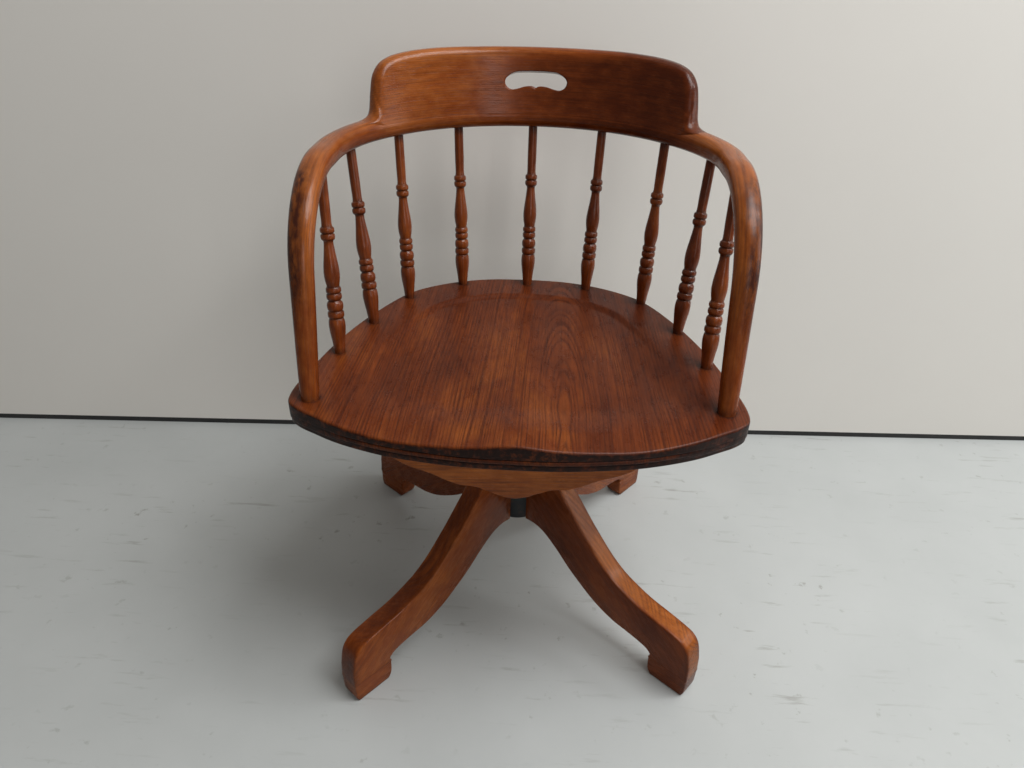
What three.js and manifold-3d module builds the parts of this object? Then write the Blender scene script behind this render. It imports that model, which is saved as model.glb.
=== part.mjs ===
// Bankers swivel chair: a saddle seat with a bent arm bow, nine turned back spindles and a crest rail,
// carried by an iron height screw in a four-legged base.
// Lengths are millimetres, +Z is up, the floor is z = 0 and the sitter faces -Y.
// The origin is the middle of the chair's footprint, so the swivel axis stands a little towards -Y of it.

import * as THREE from 'three';
import { mergeVertices } from 'three/addons/utils/BufferGeometryUtils.js';
import Module from 'manifold-3d';

const wasm = await Module();
wasm.setup();

// Fits
const fitGap = 0.3;
const cutOver = 4;

// Counts of facets
const roundSides = 24;
const holeSides = 10;
const screwSides = 8;
const spindleSides = 8;
const outlineSteps = 2;
const bowSides = 12;
const bowSteps = 46;
const armEndSteps = 6;
const lobeSteps = 8;
const tangentShare = 0.1;

// Seat board
const seatTop = 437;
const seatThickness = 30;
const seatHalfWidth = 285;
const seatBackReach = 236;
const seatFrontReach = 245;
const saddleDepth = 9;
const nosingHeight = 14.5;
const nosingRound = 3.5;
const quirkDepth = 0.9;
const beadHeight = 6;
const lowerInset = 1.2;

// Half of the seat's outline from the back to the front: shares of the half width and of the reach
const seatOutlineShares = [
  [0, 1], [0.2, 0.987], [0.36, 0.938], [0.53, 0.835], [0.655, 0.705], [0.787, 0.42], [0.896, 0.07],
  [0.967, -0.283], [1.003, -0.57], [0.991, -0.672], [0.943, -0.73], [0.867, -0.783], [0.745, -0.856],
  [0.54, -0.936], [0.35, -0.976], [0.17, -0.997], [0, -1],
];
// The saddle: where its rim starts and ends along a ray from the middle. Towards the back the rim ends in a
// step instead, which takes a share of the depth and fades in along the sides.
const rimInnerShare = 0.6;
const rimOuterShare = 0.87;
const stepInnerShare = 0.7;
const stepOuterShare = 0.755;
const dishInnerShare = 0.35;
const stepDepthShare = 0.5;
const stepFadeShares = [-0.25, 0.5];
const saddleRingShares = [0.93, 0.85, 0.765, 0.73, 0.69, 0.55, 0.25];
// How far the saddle runs out in front, by its two thigh hollows and the rise between them
const hollowRunoutShare = 0.55;
const hollowPlaceShare = 0.52;
const hollowWidthShare = 0.26;
const pommelWidthShare = 0.22;
const pommelRiseShare = 0.75;
const pommelStartShare = 0.1;
// The pommel's lip rises above the rim at the front edge
const lipRiseShare = 0.58;
const lipWidthShare = 0.135;
const lipStartShare = 0.5;
// The innermost ring of the flat underside
const underRingShare = 0.5;

// Arm bow: plan of its centre line, its heights and its section
const bowBackReach = 264;
const bowBackRadius = 285;
const bowBackAngle = THREE.MathUtils.degToRad(52);
const bowHalfWidth = 261;
const bowSkew = 4.5;
const armAboveSeat = 250.5;
const armHeight = seatTop + armAboveSeat;
const bowRise = 7.5;
const armBendRadius = 135;
const postLean = THREE.MathUtils.degToRad(14);
const postFootX = 258;
const postFootY = -150;
const bowHalfThickness = 17.5;
const bowHalfDepth = 14.5;
const postHalfThickness = 11.4;
const postTenonRadius = 9.5;
const postTenonLength = 22;
const bowSectionPower = 2.5;
const postTaperPower = 0.7;

// Crest rail, glued and dowelled on a flat that is planed on top of the bow
const crestSeatHeight = 6.5;
const crestScarfLength = 26;
const crestFeather = 2.4;
const crestHalfLength = 270;
const crestHeight = 95;
const crestTopThickness = 21;
const crestBaseThickness = 33;
const crestLean = Math.tan(THREE.MathUtils.degToRad(10.8));
const crestTopRound = 9;
// The crest's section: its waist's height, its rounding at most, the shoulder across and down, its thin ends
const crestWaistShare = 0.45;
const crestRoundShare = 0.6;
const crestShoulderShares = [0.7, 0.28];
const crestEndShare = 0.75;
// Its top edge from the middle outwards: shares of its half length and of its height above the bow's centre
const crestTopShares = [
  [0, 1], [0.28, 1], [0.52, 0.998], [0.7, 0.97], [0.79, 0.925], [0.845, 0.855], [0.89, 0.72],
  [0.92, 0.5], [0.935, 0.34], [0.962, 0.205], [1, 0.153],
];
const handHoleHalfWidth = 46.5;
const handHoleHalfHeight = 12.4;
const handHoleHeight = 49;
const handHoleSide = 2;
// Half of the hand hole from its top, by the right lobe, to the notch below: shares of its half sizes
const handHoleShares = [
  [0, 1], [0.35, 0.99], [0.65, 0.89], [0.88, 0.5], [1, -0.05], [0.95, -0.66],
  [0.79, -1], [0.6, -0.92], [0.42, -0.73], [0.22, -0.62], [0.08, -0.66], [0, -0.8],
];
const dowelRadius = 5;
const dowelBowDepth = 12;
const dowelCrestDepth = 22;
const dowelPlaceShares = [-0.6, -0.2, 0.2, 0.6];

// Back spindles, all turned alike
const spindleRadius = 11.2;
const spindleFootTenon = 20;
const spindleHeadTenon = 13;
// From the left arm round to the right one: shares of the seat's half width and reach, then of the bow's
// half plan. The sockets were bored by eye, so the two sides differ a little.
const spindleFootShares = [
  [-0.877, -0.152], [-0.782, 0.242], [-0.65, 0.631], [-0.374, 0.885], [0, 0.922],
  [0.339, 0.888], [0.642, 0.685], [0.797, 0.268], [0.884, -0.148],
];
const spindleHeadShares = [-1.02, -0.76, -0.533, -0.288, 0, 0.267, 0.527, 0.755, 1.03];
// The turning: shares of the visible length and of the largest radius
const spindleTurningShares = [
  [0, 0.64], [0.075, 0.81], [0.155, 1], [0.202, 0.86], [0.213, 0.96], [0.236, 0.96],
  [0.245, 0.83], [0.271, 0.98], [0.304, 0.73], [0.314, 0.88], [0.373, 0.88], [0.382, 0.76],
  [0.449, 0.94], [0.539, 0.79], [0.631, 0.58], [0.645, 0.8], [0.703, 0.8], [0.713, 0.63],
  [1, 0.6],
];

// Bearers: the scalloped boards across the seat's underside
const bearerHalfLength = 154;
const bearerDepth = 80;
const bearerThickness = 25;
const bearerFrontInset = 45.5;
const bearerBackInset = 61;
const bearerFrontReach = seatFrontReach - bearerFrontInset;
const bearerBackReach = seatBackReach - bearerBackInset;
// Half of the lower edge from the middle outwards: shares of the half length and of the depth
const bearerEdgeShares = [
  [0, 1], [0.09, 0.969], [0.2, 0.881], [0.31, 0.8], [0.43, 0.775], [0.55, 0.694],
  [0.68, 0.569], [0.84, 0.456], [0.96, 0.325], [1, 0.26],
];
const bearerScrewPlaceShare = 0.78;
const woodScrewRadius = 2.4;
const woodScrewHeadRadius = 5.5;
const woodScrewHeadHeight = 3;
const woodScrewGrip = 16;
const screwHeadShare = 0.7;

// Base, turned a little under the seat
const baseTurn = THREE.MathUtils.degToRad(4.8);
const legCount = 4;
const legThickness = 31;
const legArris = 2;
const legToeReach = 344.4;
const legTop = 283;
const shoeHeight = 34;
// Leg's side view as shares of its reach and of its height: the upper edge outwards, then the lower edge back
const legUpperShares = [
  [0.19, 1], [0.225, 0.955], [0.29, 0.824], [0.345, 0.746], [0.414, 0.654], [0.497, 0.555],
  [0.552, 0.5], [0.607, 0.459], [0.677, 0.426], [0.745, 0.402], [0.828, 0.386], [0.91, 0.368],
  [0.955, 0.348], [0.983, 0.302], [0.998, 0.21],
];
const legLowerShares = [
  [0.815, 0.142], [0.785, 0.166], [0.71, 0.182], [0.615, 0.195], [0.525, 0.231], [0.447, 0.283],
  [0.36, 0.354], [0.276, 0.438], [0.2, 0.498], [0.145, 0.515],
];
const shoeLength = 64.4;
const shoeHeelDraft = 7;
const shoeToeDraft = 4.4;

// Iron hub, its dovetail ribs and its top flange
const hubRadius = 36;
const hubBottom = 148;
const hubTop = 300;
const hubBossRadius = 32;
const flangeRadius = 62;
const flangeThickness = 6;
const ribDepth = 10;
const ribRootWidth = 9;
const ribTipWidth = 14;
const ribBottom = 165;
const ribSunk = 3;
const legScrewReach = 55;
const legScrewLength = 42;

// Guide bush and the key screw that stops the height screw from turning
const bushWall = 3.7;
const bushLength = 95;
const keyHeight = 262;
const keyTipRadius = 2.7;
const keyShankRadius = 4;
const keyHeadRadius = 7;
const keyHeadLength = 7;
const keywayWidth = 6;
const keywayDepth = 4;
const keywayTop = 275;

// Height screw, hand nut and thrust washers
const screwRadius = 14;
const screwBottom = 152;
const collarRadius = 22;
const collarHeight = 8;
const journalRadius = 10;
const journalLength = 56;
const grooveDepth = 2;
const grooveHeight = 8;
const groovePlace = 30;
const washerThickness = 2.5;
const washerOuterRadius = 28;
const nutHeight = 22;
const nutRadius = 41;
const nutLobe = 4.5;
const nutLobes = 6;

// Seat iron: a socket boss with four arms
const bossRadius = 23;
const bossTopRadius = 27;
const bossWebRadius = 40;
const bossRoof = 9;
const ironThickness = 6;
const ironArmReach = 150;
const ironArmWidth = 26;
const ironArmCount = 4;
const ironScrewReaches = [95, 136];
const setScrewRadius = 3;

// Heights and places that follow
const seatBottom = seatTop - seatThickness;
const screwHoleRadius = woodScrewRadius + fitGap;
const bushBore = screwRadius + fitGap;
const bushRadius = bushBore + bushWall;
const hubBore = bushRadius + fitGap;
const flangeTop = legTop + fitGap + flangeThickness;
const nutBottom = hubTop + washerThickness + 2 * fitGap;
const nutTop = nutBottom + nutHeight;
const collarBottom = nutTop + fitGap;
const collarTop = collarBottom + collarHeight;
const bossBottom = collarTop + washerThickness + 2 * fitGap;
const ironTop = seatBottom - fitGap;
const ironBottom = ironTop - ironThickness;
const heelReach = legToeReach - shoeLength;
const shoeHeelReach = heelReach + shoeHeelDraft;
const shoeToeReach = legToeReach - shoeToeDraft;
const legFootReachY = legToeReach * Math.sin(Math.PI / legCount + baseTurn)
  + legThickness / 2 * Math.cos(Math.PI / legCount + baseTurn);
const crestBackReach = bowBackReach + crestHeight * crestLean + crestTopThickness / 2;
const axisY = (legFootReachY - crestBackReach) / 2;

// The bow's plan: a back arc, a tighter side arc and a straight arm that runs into the bend
const sideRadius = (bowHalfWidth - bowBackRadius * Math.sin(bowBackAngle))
  / (1 - Math.sin(bowBackAngle));
const backCentreY = bowBackReach - bowBackRadius;
const sideCentreX = (bowBackRadius - sideRadius) * Math.sin(bowBackAngle);
const sideCentreY = backCentreY + (bowBackRadius - sideRadius) * Math.cos(bowBackAngle);
const bendStartZ = armHeight - armBendRadius * (1 - Math.sin(postLean));
const bendStartY = postFootY + (bendStartZ - seatTop) * Math.tan(postLean);
const bendEndY = bendStartY + armBendRadius * Math.cos(postLean);
const backArcLength = bowBackRadius * bowBackAngle;
const sideArcLength = sideRadius * (Math.PI / 2 - bowBackAngle);
const planHalfLength = backArcLength + sideArcLength + sideCentreY - bendEndY;
const bendLength = armBendRadius * (Math.PI / 2 - postLean);
const postLength = (bendStartZ - seatTop) / Math.cos(postLean);
const bowHalfLength = planHalfLength + bendLength + postLength;

// Merges shared vertices and drops the triangles that have no area
function weld(geometry) {
  const bare = geometry.clone();
  bare.deleteAttribute('normal');
  bare.deleteAttribute('uv');
  const merged = mergeVertices(bare, 1e-4);
  const index = Array.from(merged.index.array);
  const kept = [];
  for (let i = 0; i < index.length; i += 3) {
    const [a, b, c] = index.slice(i, i + 3);
    if (a !== b && b !== c && c !== a) kept.push(a, b, c);
  }
  merged.setIndex(kept);
  return merged;
}

function toSolid(geometry) {
  const welded = weld(geometry);
  return new wasm.Manifold(new wasm.Mesh({
    numProp: 3,
    vertProperties: new Float32Array(welded.attributes.position.array),
    triVerts: new Uint32Array(welded.index.array),
  }));
}

function toGeometry(solid) {
  const mesh = solid.getMesh();
  const geometry = new THREE.BufferGeometry();
  geometry.setAttribute('position', new THREE.BufferAttribute(new Float32Array(mesh.vertProperties), 3));
  geometry.setIndex(Array.from(mesh.triVerts));
  return geometry;
}

const cut = (body, tools) => toGeometry(tools.map(toSolid)
  .reduce((rest, tool) => rest.subtract(tool), toSolid(body)));
const join = (pieces) => toGeometry(pieces.map(toSolid).reduce((all, piece) => all.add(piece)));

// Joins rings of equally many points into one closed body, with its faces pointing out
function loft(rings) {
  const count = rings[0].length;
  const points = rings.flat();
  const index = [];
  for (let r = 0; r + 1 < rings.length; r += 1) {
    for (let i = 0; i < count; i += 1) {
      const a = r * count + i;
      const b = r * count + (i + 1) % count;
      index.push(a, b, b + count, a, b + count, a + count);
    }
  }
  [0, rings.length - 1].forEach((r) => {
    const middle = new THREE.Vector3();
    rings[r].forEach((point) => middle.addScaledVector(point, 1 / count));
    points.push(middle);
    for (let i = 0; i < count; i += 1) {
      const a = r * count + i;
      const b = r * count + (i + 1) % count;
      if (r === 0) index.push(b, a, points.length - 1);
      else index.push(a, b, points.length - 1);
    }
  });
  let volume = 0;
  for (let i = 0; i < index.length; i += 3) {
    const [a, b, c] = index.slice(i, i + 3).map((k) => points[k]);
    volume += a.dot(b.clone().cross(c));
  }
  if (volume < 0) index.reverse();
  const geometry = new THREE.BufferGeometry().setFromPoints(points);
  geometry.setIndex(index);
  return geometry;
}

// Turns a closed outline of [radius, height] pairs about the Z axis
function revolve(outline, sides = roundSides) {
  const points = outline.map(([r, z]) => new THREE.Vector2(r, z));
  if (THREE.ShapeUtils.area(points) < 0) points.reverse();
  points.push(points[0].clone());
  const geometry = new THREE.LatheGeometry(points, sides);
  geometry.rotateX(Math.PI / 2);
  return geometry;
}

// A cylinder whose flats, not its corners, stand at the radius, so that a round piece fits inside it
function drill(radius, bottom, top) {
  const wide = radius / Math.cos(Math.PI / holeSides);
  return revolve([[0, bottom], [wide, bottom], [wide, top], [0, top]], holeSides);
}

// Stands a shape drawn as (reach, height) upright along X, centred on its thickness
function uprightPlate(shape, thickness, arris) {
  const geometry = new THREE.ExtrudeGeometry(shape, {
    depth: thickness - 2 * arris,
    bevelEnabled: arris > 0,
    bevelThickness: arris,
    bevelSize: arris,
    bevelOffset: -arris,
    bevelSegments: 1,
    curveSegments: outlineSteps,
  });
  geometry.translate(0, 0, arris - thickness / 2);
  geometry.rotateX(Math.PI / 2);
  return geometry;
}

// The points of a drawn shape, with only so many steps between two points of its splines
const outlineShape = (shape, steps) => new THREE.Shape(shape.getPoints(steps));

const mirrored = (half) => half.slice(1, -1).reverse().map(([x, y]) => [-x, y]);

// A closed smooth outline through a half and its mirror image
function closedCurve(half) {
  const points = [...half, ...mirrored(half)].map(([x, y]) => new THREE.Vector3(x, y, 0));
  return new THREE.CatmullRomCurve3(points, true);
}

const reachOf = (share) => share * (share > 0 ? seatBackReach : seatFrontReach);
const seatPlace = ([x, y]) => [x * seatHalfWidth, reachOf(y)];
const smooth = (from, to, value) => THREE.MathUtils.smoothstep(value, from, to);

// How far the saddle is carved below the rim's plane
function saddleAt(x, y, share) {
  const soft = 1 - smooth(rimInnerShare, rimOuterShare, share);
  const step = 1 - smooth(stepInnerShare, stepOuterShare, share);
  const dish = 1 - smooth(dishInnerShare, stepOuterShare, share);
  const back = smooth(...stepFadeShares, y / seatBackReach);
  const rim = THREE.MathUtils.lerp(soft, THREE.MathUtils.lerp(dish, step, stepDepthShare), back);
  const front = smooth(pommelStartShare, 1, -y / seatFrontReach);
  const across = Math.abs(x) / seatHalfWidth;
  const hollow = Math.exp(-(((across - hollowPlaceShare) / hollowWidthShare) ** 2));
  const pommel = pommelRiseShare * front * Math.exp(-((across / pommelWidthShare) ** 2));
  const lip = smooth(lipStartShare, 1, -y / seatFrontReach) * Math.exp(-((across / lipWidthShare) ** 2));
  const carved = rim * (1 - pommel) + (1 - rim) * front * hollow * hollowRunoutShare;
  return saddleDepth * (carved - lip * lipRiseShare);
}

// The seat's outline runs clockwise from above; a ring is moved in by an inset and shrunk by a share
function seatRing(outline, inset, share, height) {
  return outline.map((point, i) => {
    const before = outline[(i + outline.length - 1) % outline.length];
    const after = outline[(i + 1) % outline.length];
    const along = new THREE.Vector2(after.x - before.x, after.y - before.y).normalize();
    const x = (point.x + along.y * inset) * share;
    const y = (point.y - along.x * inset) * share;
    return new THREE.Vector3(x, y, height(x, y));
  });
}

// Rings from the underside's middle, out round the moulded edge and back over the saddle
function seatBlank() {
  const seatSides = outlineSteps * 2 * (seatOutlineShares.length - 1);
  const outline = closedCurve(seatOutlineShares.map(seatPlace)).getPoints(seatSides).slice(0, seatSides);
  const level = (z) => () => z;
  const edge = [
    [lowerInset, seatThickness],
    [quirkDepth, nosingHeight + beadHeight + quirkDepth],
    [quirkDepth / 2, nosingHeight + beadHeight],
    [quirkDepth, nosingHeight],
    [0, nosingHeight - quirkDepth],
    [0, nosingRound],
  ];
  const rings = [seatRing(outline, 0, underRingShare, level(seatBottom))];
  edge.forEach(([inset, down]) => rings.push(seatRing(outline, inset, 1, level(seatTop - down))));
  const edgeDip = (x, y) => seatTop - saddleAt(x, y, 1);
  rings[rings.length - 1] = seatRing(outline, 0, 1, (x, y) => edgeDip(x, y) - nosingRound);
  rings.push(seatRing(outline, nosingRound, 1, edgeDip));
  saddleRingShares.forEach((share) => {
    rings.push(seatRing(outline, 0, share, (x, y) => seatTop - saddleAt(x, y, share)));
  });
  return loft(rings);
}

// A point of the bow's centre line, a signed distance from the middle of the back.
// The bent bow sits a little skew: its left arm stands further forward than its right one.
function bowCentre(distance) {
  const side = distance < 0 ? -1 : 1;
  const run = Math.abs(distance);
  const skew = side * bowSkew * smooth(backArcLength, backArcLength + sideArcLength, run);
  const rise = (y) => armHeight + bowRise * smooth(bendEndY, bowBackReach, y);
  if (run < planHalfLength) {
    let x = bowHalfWidth;
    let y = sideCentreY - (run - backArcLength - sideArcLength);
    if (run < backArcLength) {
      const angle = run / bowBackRadius;
      x = bowBackRadius * Math.sin(angle);
      y = backCentreY + bowBackRadius * Math.cos(angle);
    } else if (run < backArcLength + sideArcLength) {
      const angle = bowBackAngle + (run - backArcLength) / sideRadius;
      x = sideCentreX + sideRadius * Math.sin(angle);
      y = sideCentreY + sideRadius * Math.cos(angle);
    }
    return new THREE.Vector3(side * x, y + skew, rise(y));
  }
  let y = bendEndY;
  let z = armHeight;
  if (run < planHalfLength + bendLength) {
    const slope = Math.PI / 2 - (run - planHalfLength) / armBendRadius;
    y = bendEndY - armBendRadius * Math.cos(slope);
    z = armHeight - armBendRadius * (1 - Math.sin(slope));
  } else {
    const down = run - planHalfLength - bendLength;
    y = bendStartY - down * Math.sin(postLean);
    z = bendStartZ - down * Math.cos(postLean);
  }
  const inward = (bowHalfWidth - postFootX) * (armHeight - z) / (armHeight - seatTop);
  return new THREE.Vector3(side * (bowHalfWidth - inward), y + skew, z);
}

// The section's two axes: across the bow, and from its underside to its top
function bowAxes(distance) {
  const step = bowHalfDepth * tangentShare;
  const along = bowCentre(distance + step).sub(bowCentre(distance - step)).normalize();
  const across = new THREE.Vector3(along.y, -along.x, 0).normalize();
  const run = Math.abs(distance);
  if (run <= planHalfLength) return { across: across.multiplyScalar(-1), up: new THREE.Vector3(0, 0, 1) };
  const turn = Math.min((run - planHalfLength) / bendLength, 1) * Math.PI / 2;
  const up = new THREE.Vector3(0, -Math.sin(turn), Math.cos(turn));
  return { across: new THREE.Vector3(Math.sign(distance), 0, 0), up };
}

function bowHalfSizes(distance) {
  const run = Math.abs(distance);
  const fromFoot = Math.max(0, (bowHalfLength - run) / (bendLength + postLength));
  const swell = Math.min(fromFoot, 1) ** postTaperPower;
  return {
    wide: postHalfThickness + (bowHalfThickness - postHalfThickness) * swell,
    deep: postHalfThickness + (bowHalfDepth - postHalfThickness) * swell,
  };
}

// Height, above the centre line, of the flat that carries the crest; it rises in a scarf at both ends
function crestFlat(distance) {
  const start = crestHalfLength - crestScarfLength;
  const lift = Math.max(Math.abs(distance) - start, 0) / crestScarfLength;
  return crestSeatHeight + (bowHalfDepth - crestFeather - crestSeatHeight) * lift;
}

// A section of the bow as (across, up) pairs, rounder towards the post
function bowSection(wide, deep, power) {
  const section = [];
  for (let i = 0; i < bowSides; i += 1) {
    const angle = (i + 0.5) / bowSides * 2 * Math.PI;
    const swing = (value) => Math.sign(value) * Math.abs(value) ** (2 / power);
    section.push([wide * swing(Math.cos(angle)), deep * swing(Math.sin(angle))]);
  }
  return section;
}

function placeSection(distance, section) {
  const centre = bowCentre(distance);
  const { across, up } = bowAxes(distance);
  return section.map(([a, u]) => centre.clone().addScaledVector(across, a).addScaledVector(up, u));
}

function bowRing(distance) {
  const { wide, deep } = bowHalfSizes(distance);
  const roundness = Math.min(Math.max(Math.abs(distance) - planHalfLength, 0) / bendLength, 1);
  const power = bowSectionPower + (2 - bowSectionPower) * roundness;
  return placeSection(distance, bowSection(wide, deep, power));
}

function postTenon(side) {
  const foot = bowCentre(side * bowHalfLength);
  const slope = new THREE.Vector3(0, -Math.tan(postLean), -1);
  return (radius, from, to) => loft([from, to].map((down) => {
    const ring = [];
    for (let i = 0; i < holeSides; i += 1) {
      const angle = (i + 0.5) / holeSides * 2 * Math.PI;
      const rim = new THREE.Vector3(radius * Math.cos(angle), radius * Math.sin(angle), 0);
      ring.push(foot.clone().addScaledVector(slope, down).add(rim));
    }
    return ring;
  }));
}

// Where a spindle leaves the seat and where it meets the bow's underside
function spindleEnds(index) {
  const [x, y] = seatPlace(spindleFootShares[index]);
  const run = spindleHeadShares[index] * planHalfLength;
  const { up } = bowAxes(run);
  return { foot: new THREE.Vector3(x, y, seatTop), head: bowCentre(run).addScaledVector(up, -bowHalfDepth) };
}

// Moves a body that was made along +Z from the origin onto the line from one point to another
function aim(geometry, from, to) {
  const along = to.clone().sub(from).normalize();
  geometry.applyQuaternion(new THREE.Quaternion().setFromUnitVectors(new THREE.Vector3(0, 0, 1), along));
  geometry.translate(from.x, from.y, from.z);
  return geometry;
}

function spindleBody(index) {
  const { foot, head } = spindleEnds(index);
  const length = head.distanceTo(foot);
  const turning = spindleTurningShares.map(([s, r]) => [s * length, r * spindleRadius]);
  const footRadius = turning[0][1];
  const headRadius = turning[turning.length - 1][1];
  const outline = [
    [0, -spindleFootTenon], [footRadius, -spindleFootTenon],
    ...turning.map(([s, r]) => [r, s]),
    [headRadius, length + spindleHeadTenon], [0, length + spindleHeadTenon],
  ];
  return aim(revolve(outline, spindleSides), foot, head);
}

function spindleSockets(index) {
  const { foot, head } = spindleEnds(index);
  const length = head.distanceTo(foot);
  const footRadius = spindleTurningShares[0][1] * spindleRadius + fitGap;
  const headRadius = spindleTurningShares.at(-1)[1] * spindleRadius + fitGap;
  return {
    seat: aim(drill(footRadius, -spindleFootTenon - fitGap, cutOver), foot, head),
    bow: aim(drill(headRadius, length - cutOver, length + spindleHeadTenon + fitGap), foot, head),
  };
}

const spindleIndexes = spindleFootShares.map((_, index) => index);

function dowelPlace(share) {
  const centre = bowCentre(share * crestHalfLength);
  return { x: centre.x, y: centre.y, flat: centre.z + crestFlat(share * crestHalfLength) };
}

function dowelBodies(radius, slack) {
  return dowelPlaceShares.map((share) => {
    const { x, y, flat } = dowelPlace(share);
    const outline = [
      [0, flat - dowelBowDepth - slack], [radius, flat - dowelBowDepth - slack],
      [radius, flat + dowelCrestDepth + slack], [0, flat + dowelCrestDepth + slack],
    ];
    return revolve(outline, holeSides).translate(x, y, 0);
  });
}

const dowelHoles = () => dowelBodies((dowelRadius + fitGap) / Math.cos(Math.PI / holeSides), fitGap);

function armBow() {
  const rings = [];
  for (let i = 0; i <= bowSteps; i += 1) {
    const share = i / bowSteps * 2 - 1;
    rings.push(bowRing(share * (bowHalfLength - fitGap)));
  }
  const tenons = [-1, 1].map((side) => postTenon(side)(postTenonRadius, -cutOver, postTenonLength));
  const sockets = spindleIndexes.map((index) => spindleSockets(index).bow);
  return cut(join([loft(rings), ...tenons]), [crestPocket(), ...sockets, ...dowelHoles()]);
}

// The crest's stations along the bow, each with the height of its top edge
function crestStations() {
  const profile = crestTopShares.map(([s, h]) => new THREE.Vector3(s * crestHalfLength, h * crestHeight, 0));
  const half = new THREE.CatmullRomCurve3(profile).getPoints(outlineSteps * (profile.length - 1));
  return [...half.slice(1).reverse().map((p) => [-p.x, p.y]), ...half.map((p) => [p.x, p.y])];
}

// What is planed off the bow's top to seat the crest
function crestPocket() {
  const wide = bowHalfThickness + cutOver;
  const top = bowHalfDepth + cutOver;
  const distances = crestStations().map(([distance]) => distance);
  distances[0] -= fitGap;
  distances[distances.length - 1] += fitGap;
  return loft(distances.map((distance) => {
    const flat = crestFlat(distance);
    return placeSection(distance, [[-wide, flat], [-wide, top], [wide, top], [wide, flat]]);
  }));
}

// A section of the crest as (across, up) pairs: upright faces that lean back to a rounded top
function crestSection(distance, height) {
  const base = crestFlat(distance) + fitGap;
  const board = smooth(bowHalfDepth, crestHeight / 2, height);
  const power = bowSectionPower;
  const capWide = bowHalfThickness * (1 - ((base / bowHalfDepth) ** power)) ** (1 / power);
  const baseHalf = capWide + (crestBaseThickness / 2 - capWide) * board;
  const tall = height - base;
  const round = Math.min(crestTopRound, tall * crestRoundShare);
  const topHalf = THREE.MathUtils.lerp(baseHalf * crestEndShare, crestTopThickness / 2, board);
  const lean = height * crestLean * board;
  const middleLean = lean * (tall / 2) / Math.max(height, tall);
  const middleHalf = (baseHalf + topHalf) / 2;
  const waist = base + tall * crestWaistShare;
  const shoulder = height - round * crestShoulderShares[1];
  const shoulderHalf = topHalf * crestShoulderShares[0];
  return [
    [-baseHalf, base], [middleLean - middleHalf, waist], [lean - topHalf, height - round],
    [lean - shoulderHalf, shoulder], [lean, height], [lean + shoulderHalf, shoulder],
    [lean + topHalf, height - round], [middleLean + middleHalf, waist], [baseHalf, base],
  ];
}

function handHoleCut() {
  const steps = outlineSteps * 2 * (handHoleShares.length - 1);
  const rim = closedCurve(handHoleShares).getPoints(steps).slice(0, steps);
  const shape = new THREE.Shape(rim
    .map((point) => new THREE.Vector2(point.x * handHoleHalfWidth, point.y * handHoleHalfHeight)));
  const plate = uprightPlate(shape, 2 * crestBaseThickness + 2 * cutOver, 0);
  const centre = bowCentre(0);
  return plate.translate(handHoleSide, centre.y + handHoleHeight * crestLean, centre.z + handHoleHeight);
}

function crestRail() {
  const rings = crestStations()
    .map(([distance, height]) => placeSection(distance, crestSection(distance, height)));
  return cut(loft(rings), [handHoleCut(), ...dowelHoles()]);
}

// A round-headed wood screw that is driven upwards
function woodScrew(x, y, headBottom, tip) {
  const outline = [
    [0, headBottom], [woodScrewHeadRadius * screwHeadShare, headBottom],
    [woodScrewHeadRadius, headBottom + woodScrewHeadHeight],
    [woodScrewRadius, headBottom + woodScrewHeadHeight], [woodScrewRadius, tip], [0, tip],
  ];
  return revolve(outline, screwSides).translate(x, y, 0);
}

function ironScrewPlaces() {
  const places = [];
  for (let arm = 0; arm < ironArmCount; arm += 1) {
    const angle = (arm + 0.5) / ironArmCount * 2 * Math.PI;
    ironScrewReaches.forEach((reach) => places.push([reach * Math.cos(angle), reach * Math.sin(angle)]));
  }
  return places;
}

const bearerRows = [bearerThickness / 2 - bearerFrontReach, bearerBackReach - bearerThickness / 2];
const bearerScrewX = bearerScrewPlaceShare * bearerHalfLength;
const bearerScrewPlaces = (y) => [[-bearerScrewX, y], [bearerScrewX, y]];
const bearerScrewHead = seatBottom - bearerDepth * bearerEdgeShares.at(-2)[1] - fitGap;
const seatScrewTip = seatBottom + woodScrewGrip;
const pilotHole = ([x, y]) => drill(screwHoleRadius, seatBottom - cutOver, seatScrewTip + fitGap)
  .translate(x, y, 0);

function seatBoard() {
  const sockets = spindleIndexes.map((index) => spindleSockets(index).seat);
  const tenonHole = (postTenonRadius + fitGap) / Math.cos(Math.PI / holeSides);
  const posts = [-1, 1].map((side) => postTenon(side)(tenonHole, -cutOver, postTenonLength + fitGap));
  const pilots = [...ironScrewPlaces(), ...bearerRows.flatMap(bearerScrewPlaces)].map(pilotHole);
  return cut(seatBlank(), [...sockets, ...posts, ...pilots]);
}

function bearer(y) {
  const half = bearerEdgeShares.map(([x, d]) => new THREE.Vector2(x * bearerHalfLength, -d * bearerDepth));
  const left = half.slice(1).reverse().map((point) => new THREE.Vector2(-point.x, point.y));
  const shape = new THREE.Shape();
  shape.moveTo(-bearerHalfLength, -fitGap);
  shape.lineTo(left[0].x, left[0].y);
  shape.splineThru([...left.slice(1), ...half]);
  shape.lineTo(bearerHalfLength, -fitGap);
  const plate = uprightPlate(outlineShape(shape, outlineSteps), bearerThickness, 0);
  plate.translate(0, y, seatBottom);
  const headRoom = bearerScrewHead + woodScrewHeadHeight + fitGap;
  const tools = bearerScrewPlaces(y).flatMap(([x, row]) => [
    drill(woodScrewHeadRadius + 2 * fitGap, seatBottom - bearerDepth, headRoom).translate(x, row, 0),
    drill(screwHoleRadius, bearerScrewHead, seatBottom + cutOver).translate(x, row, 0),
  ]);
  return cut(plate, tools);
}

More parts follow.
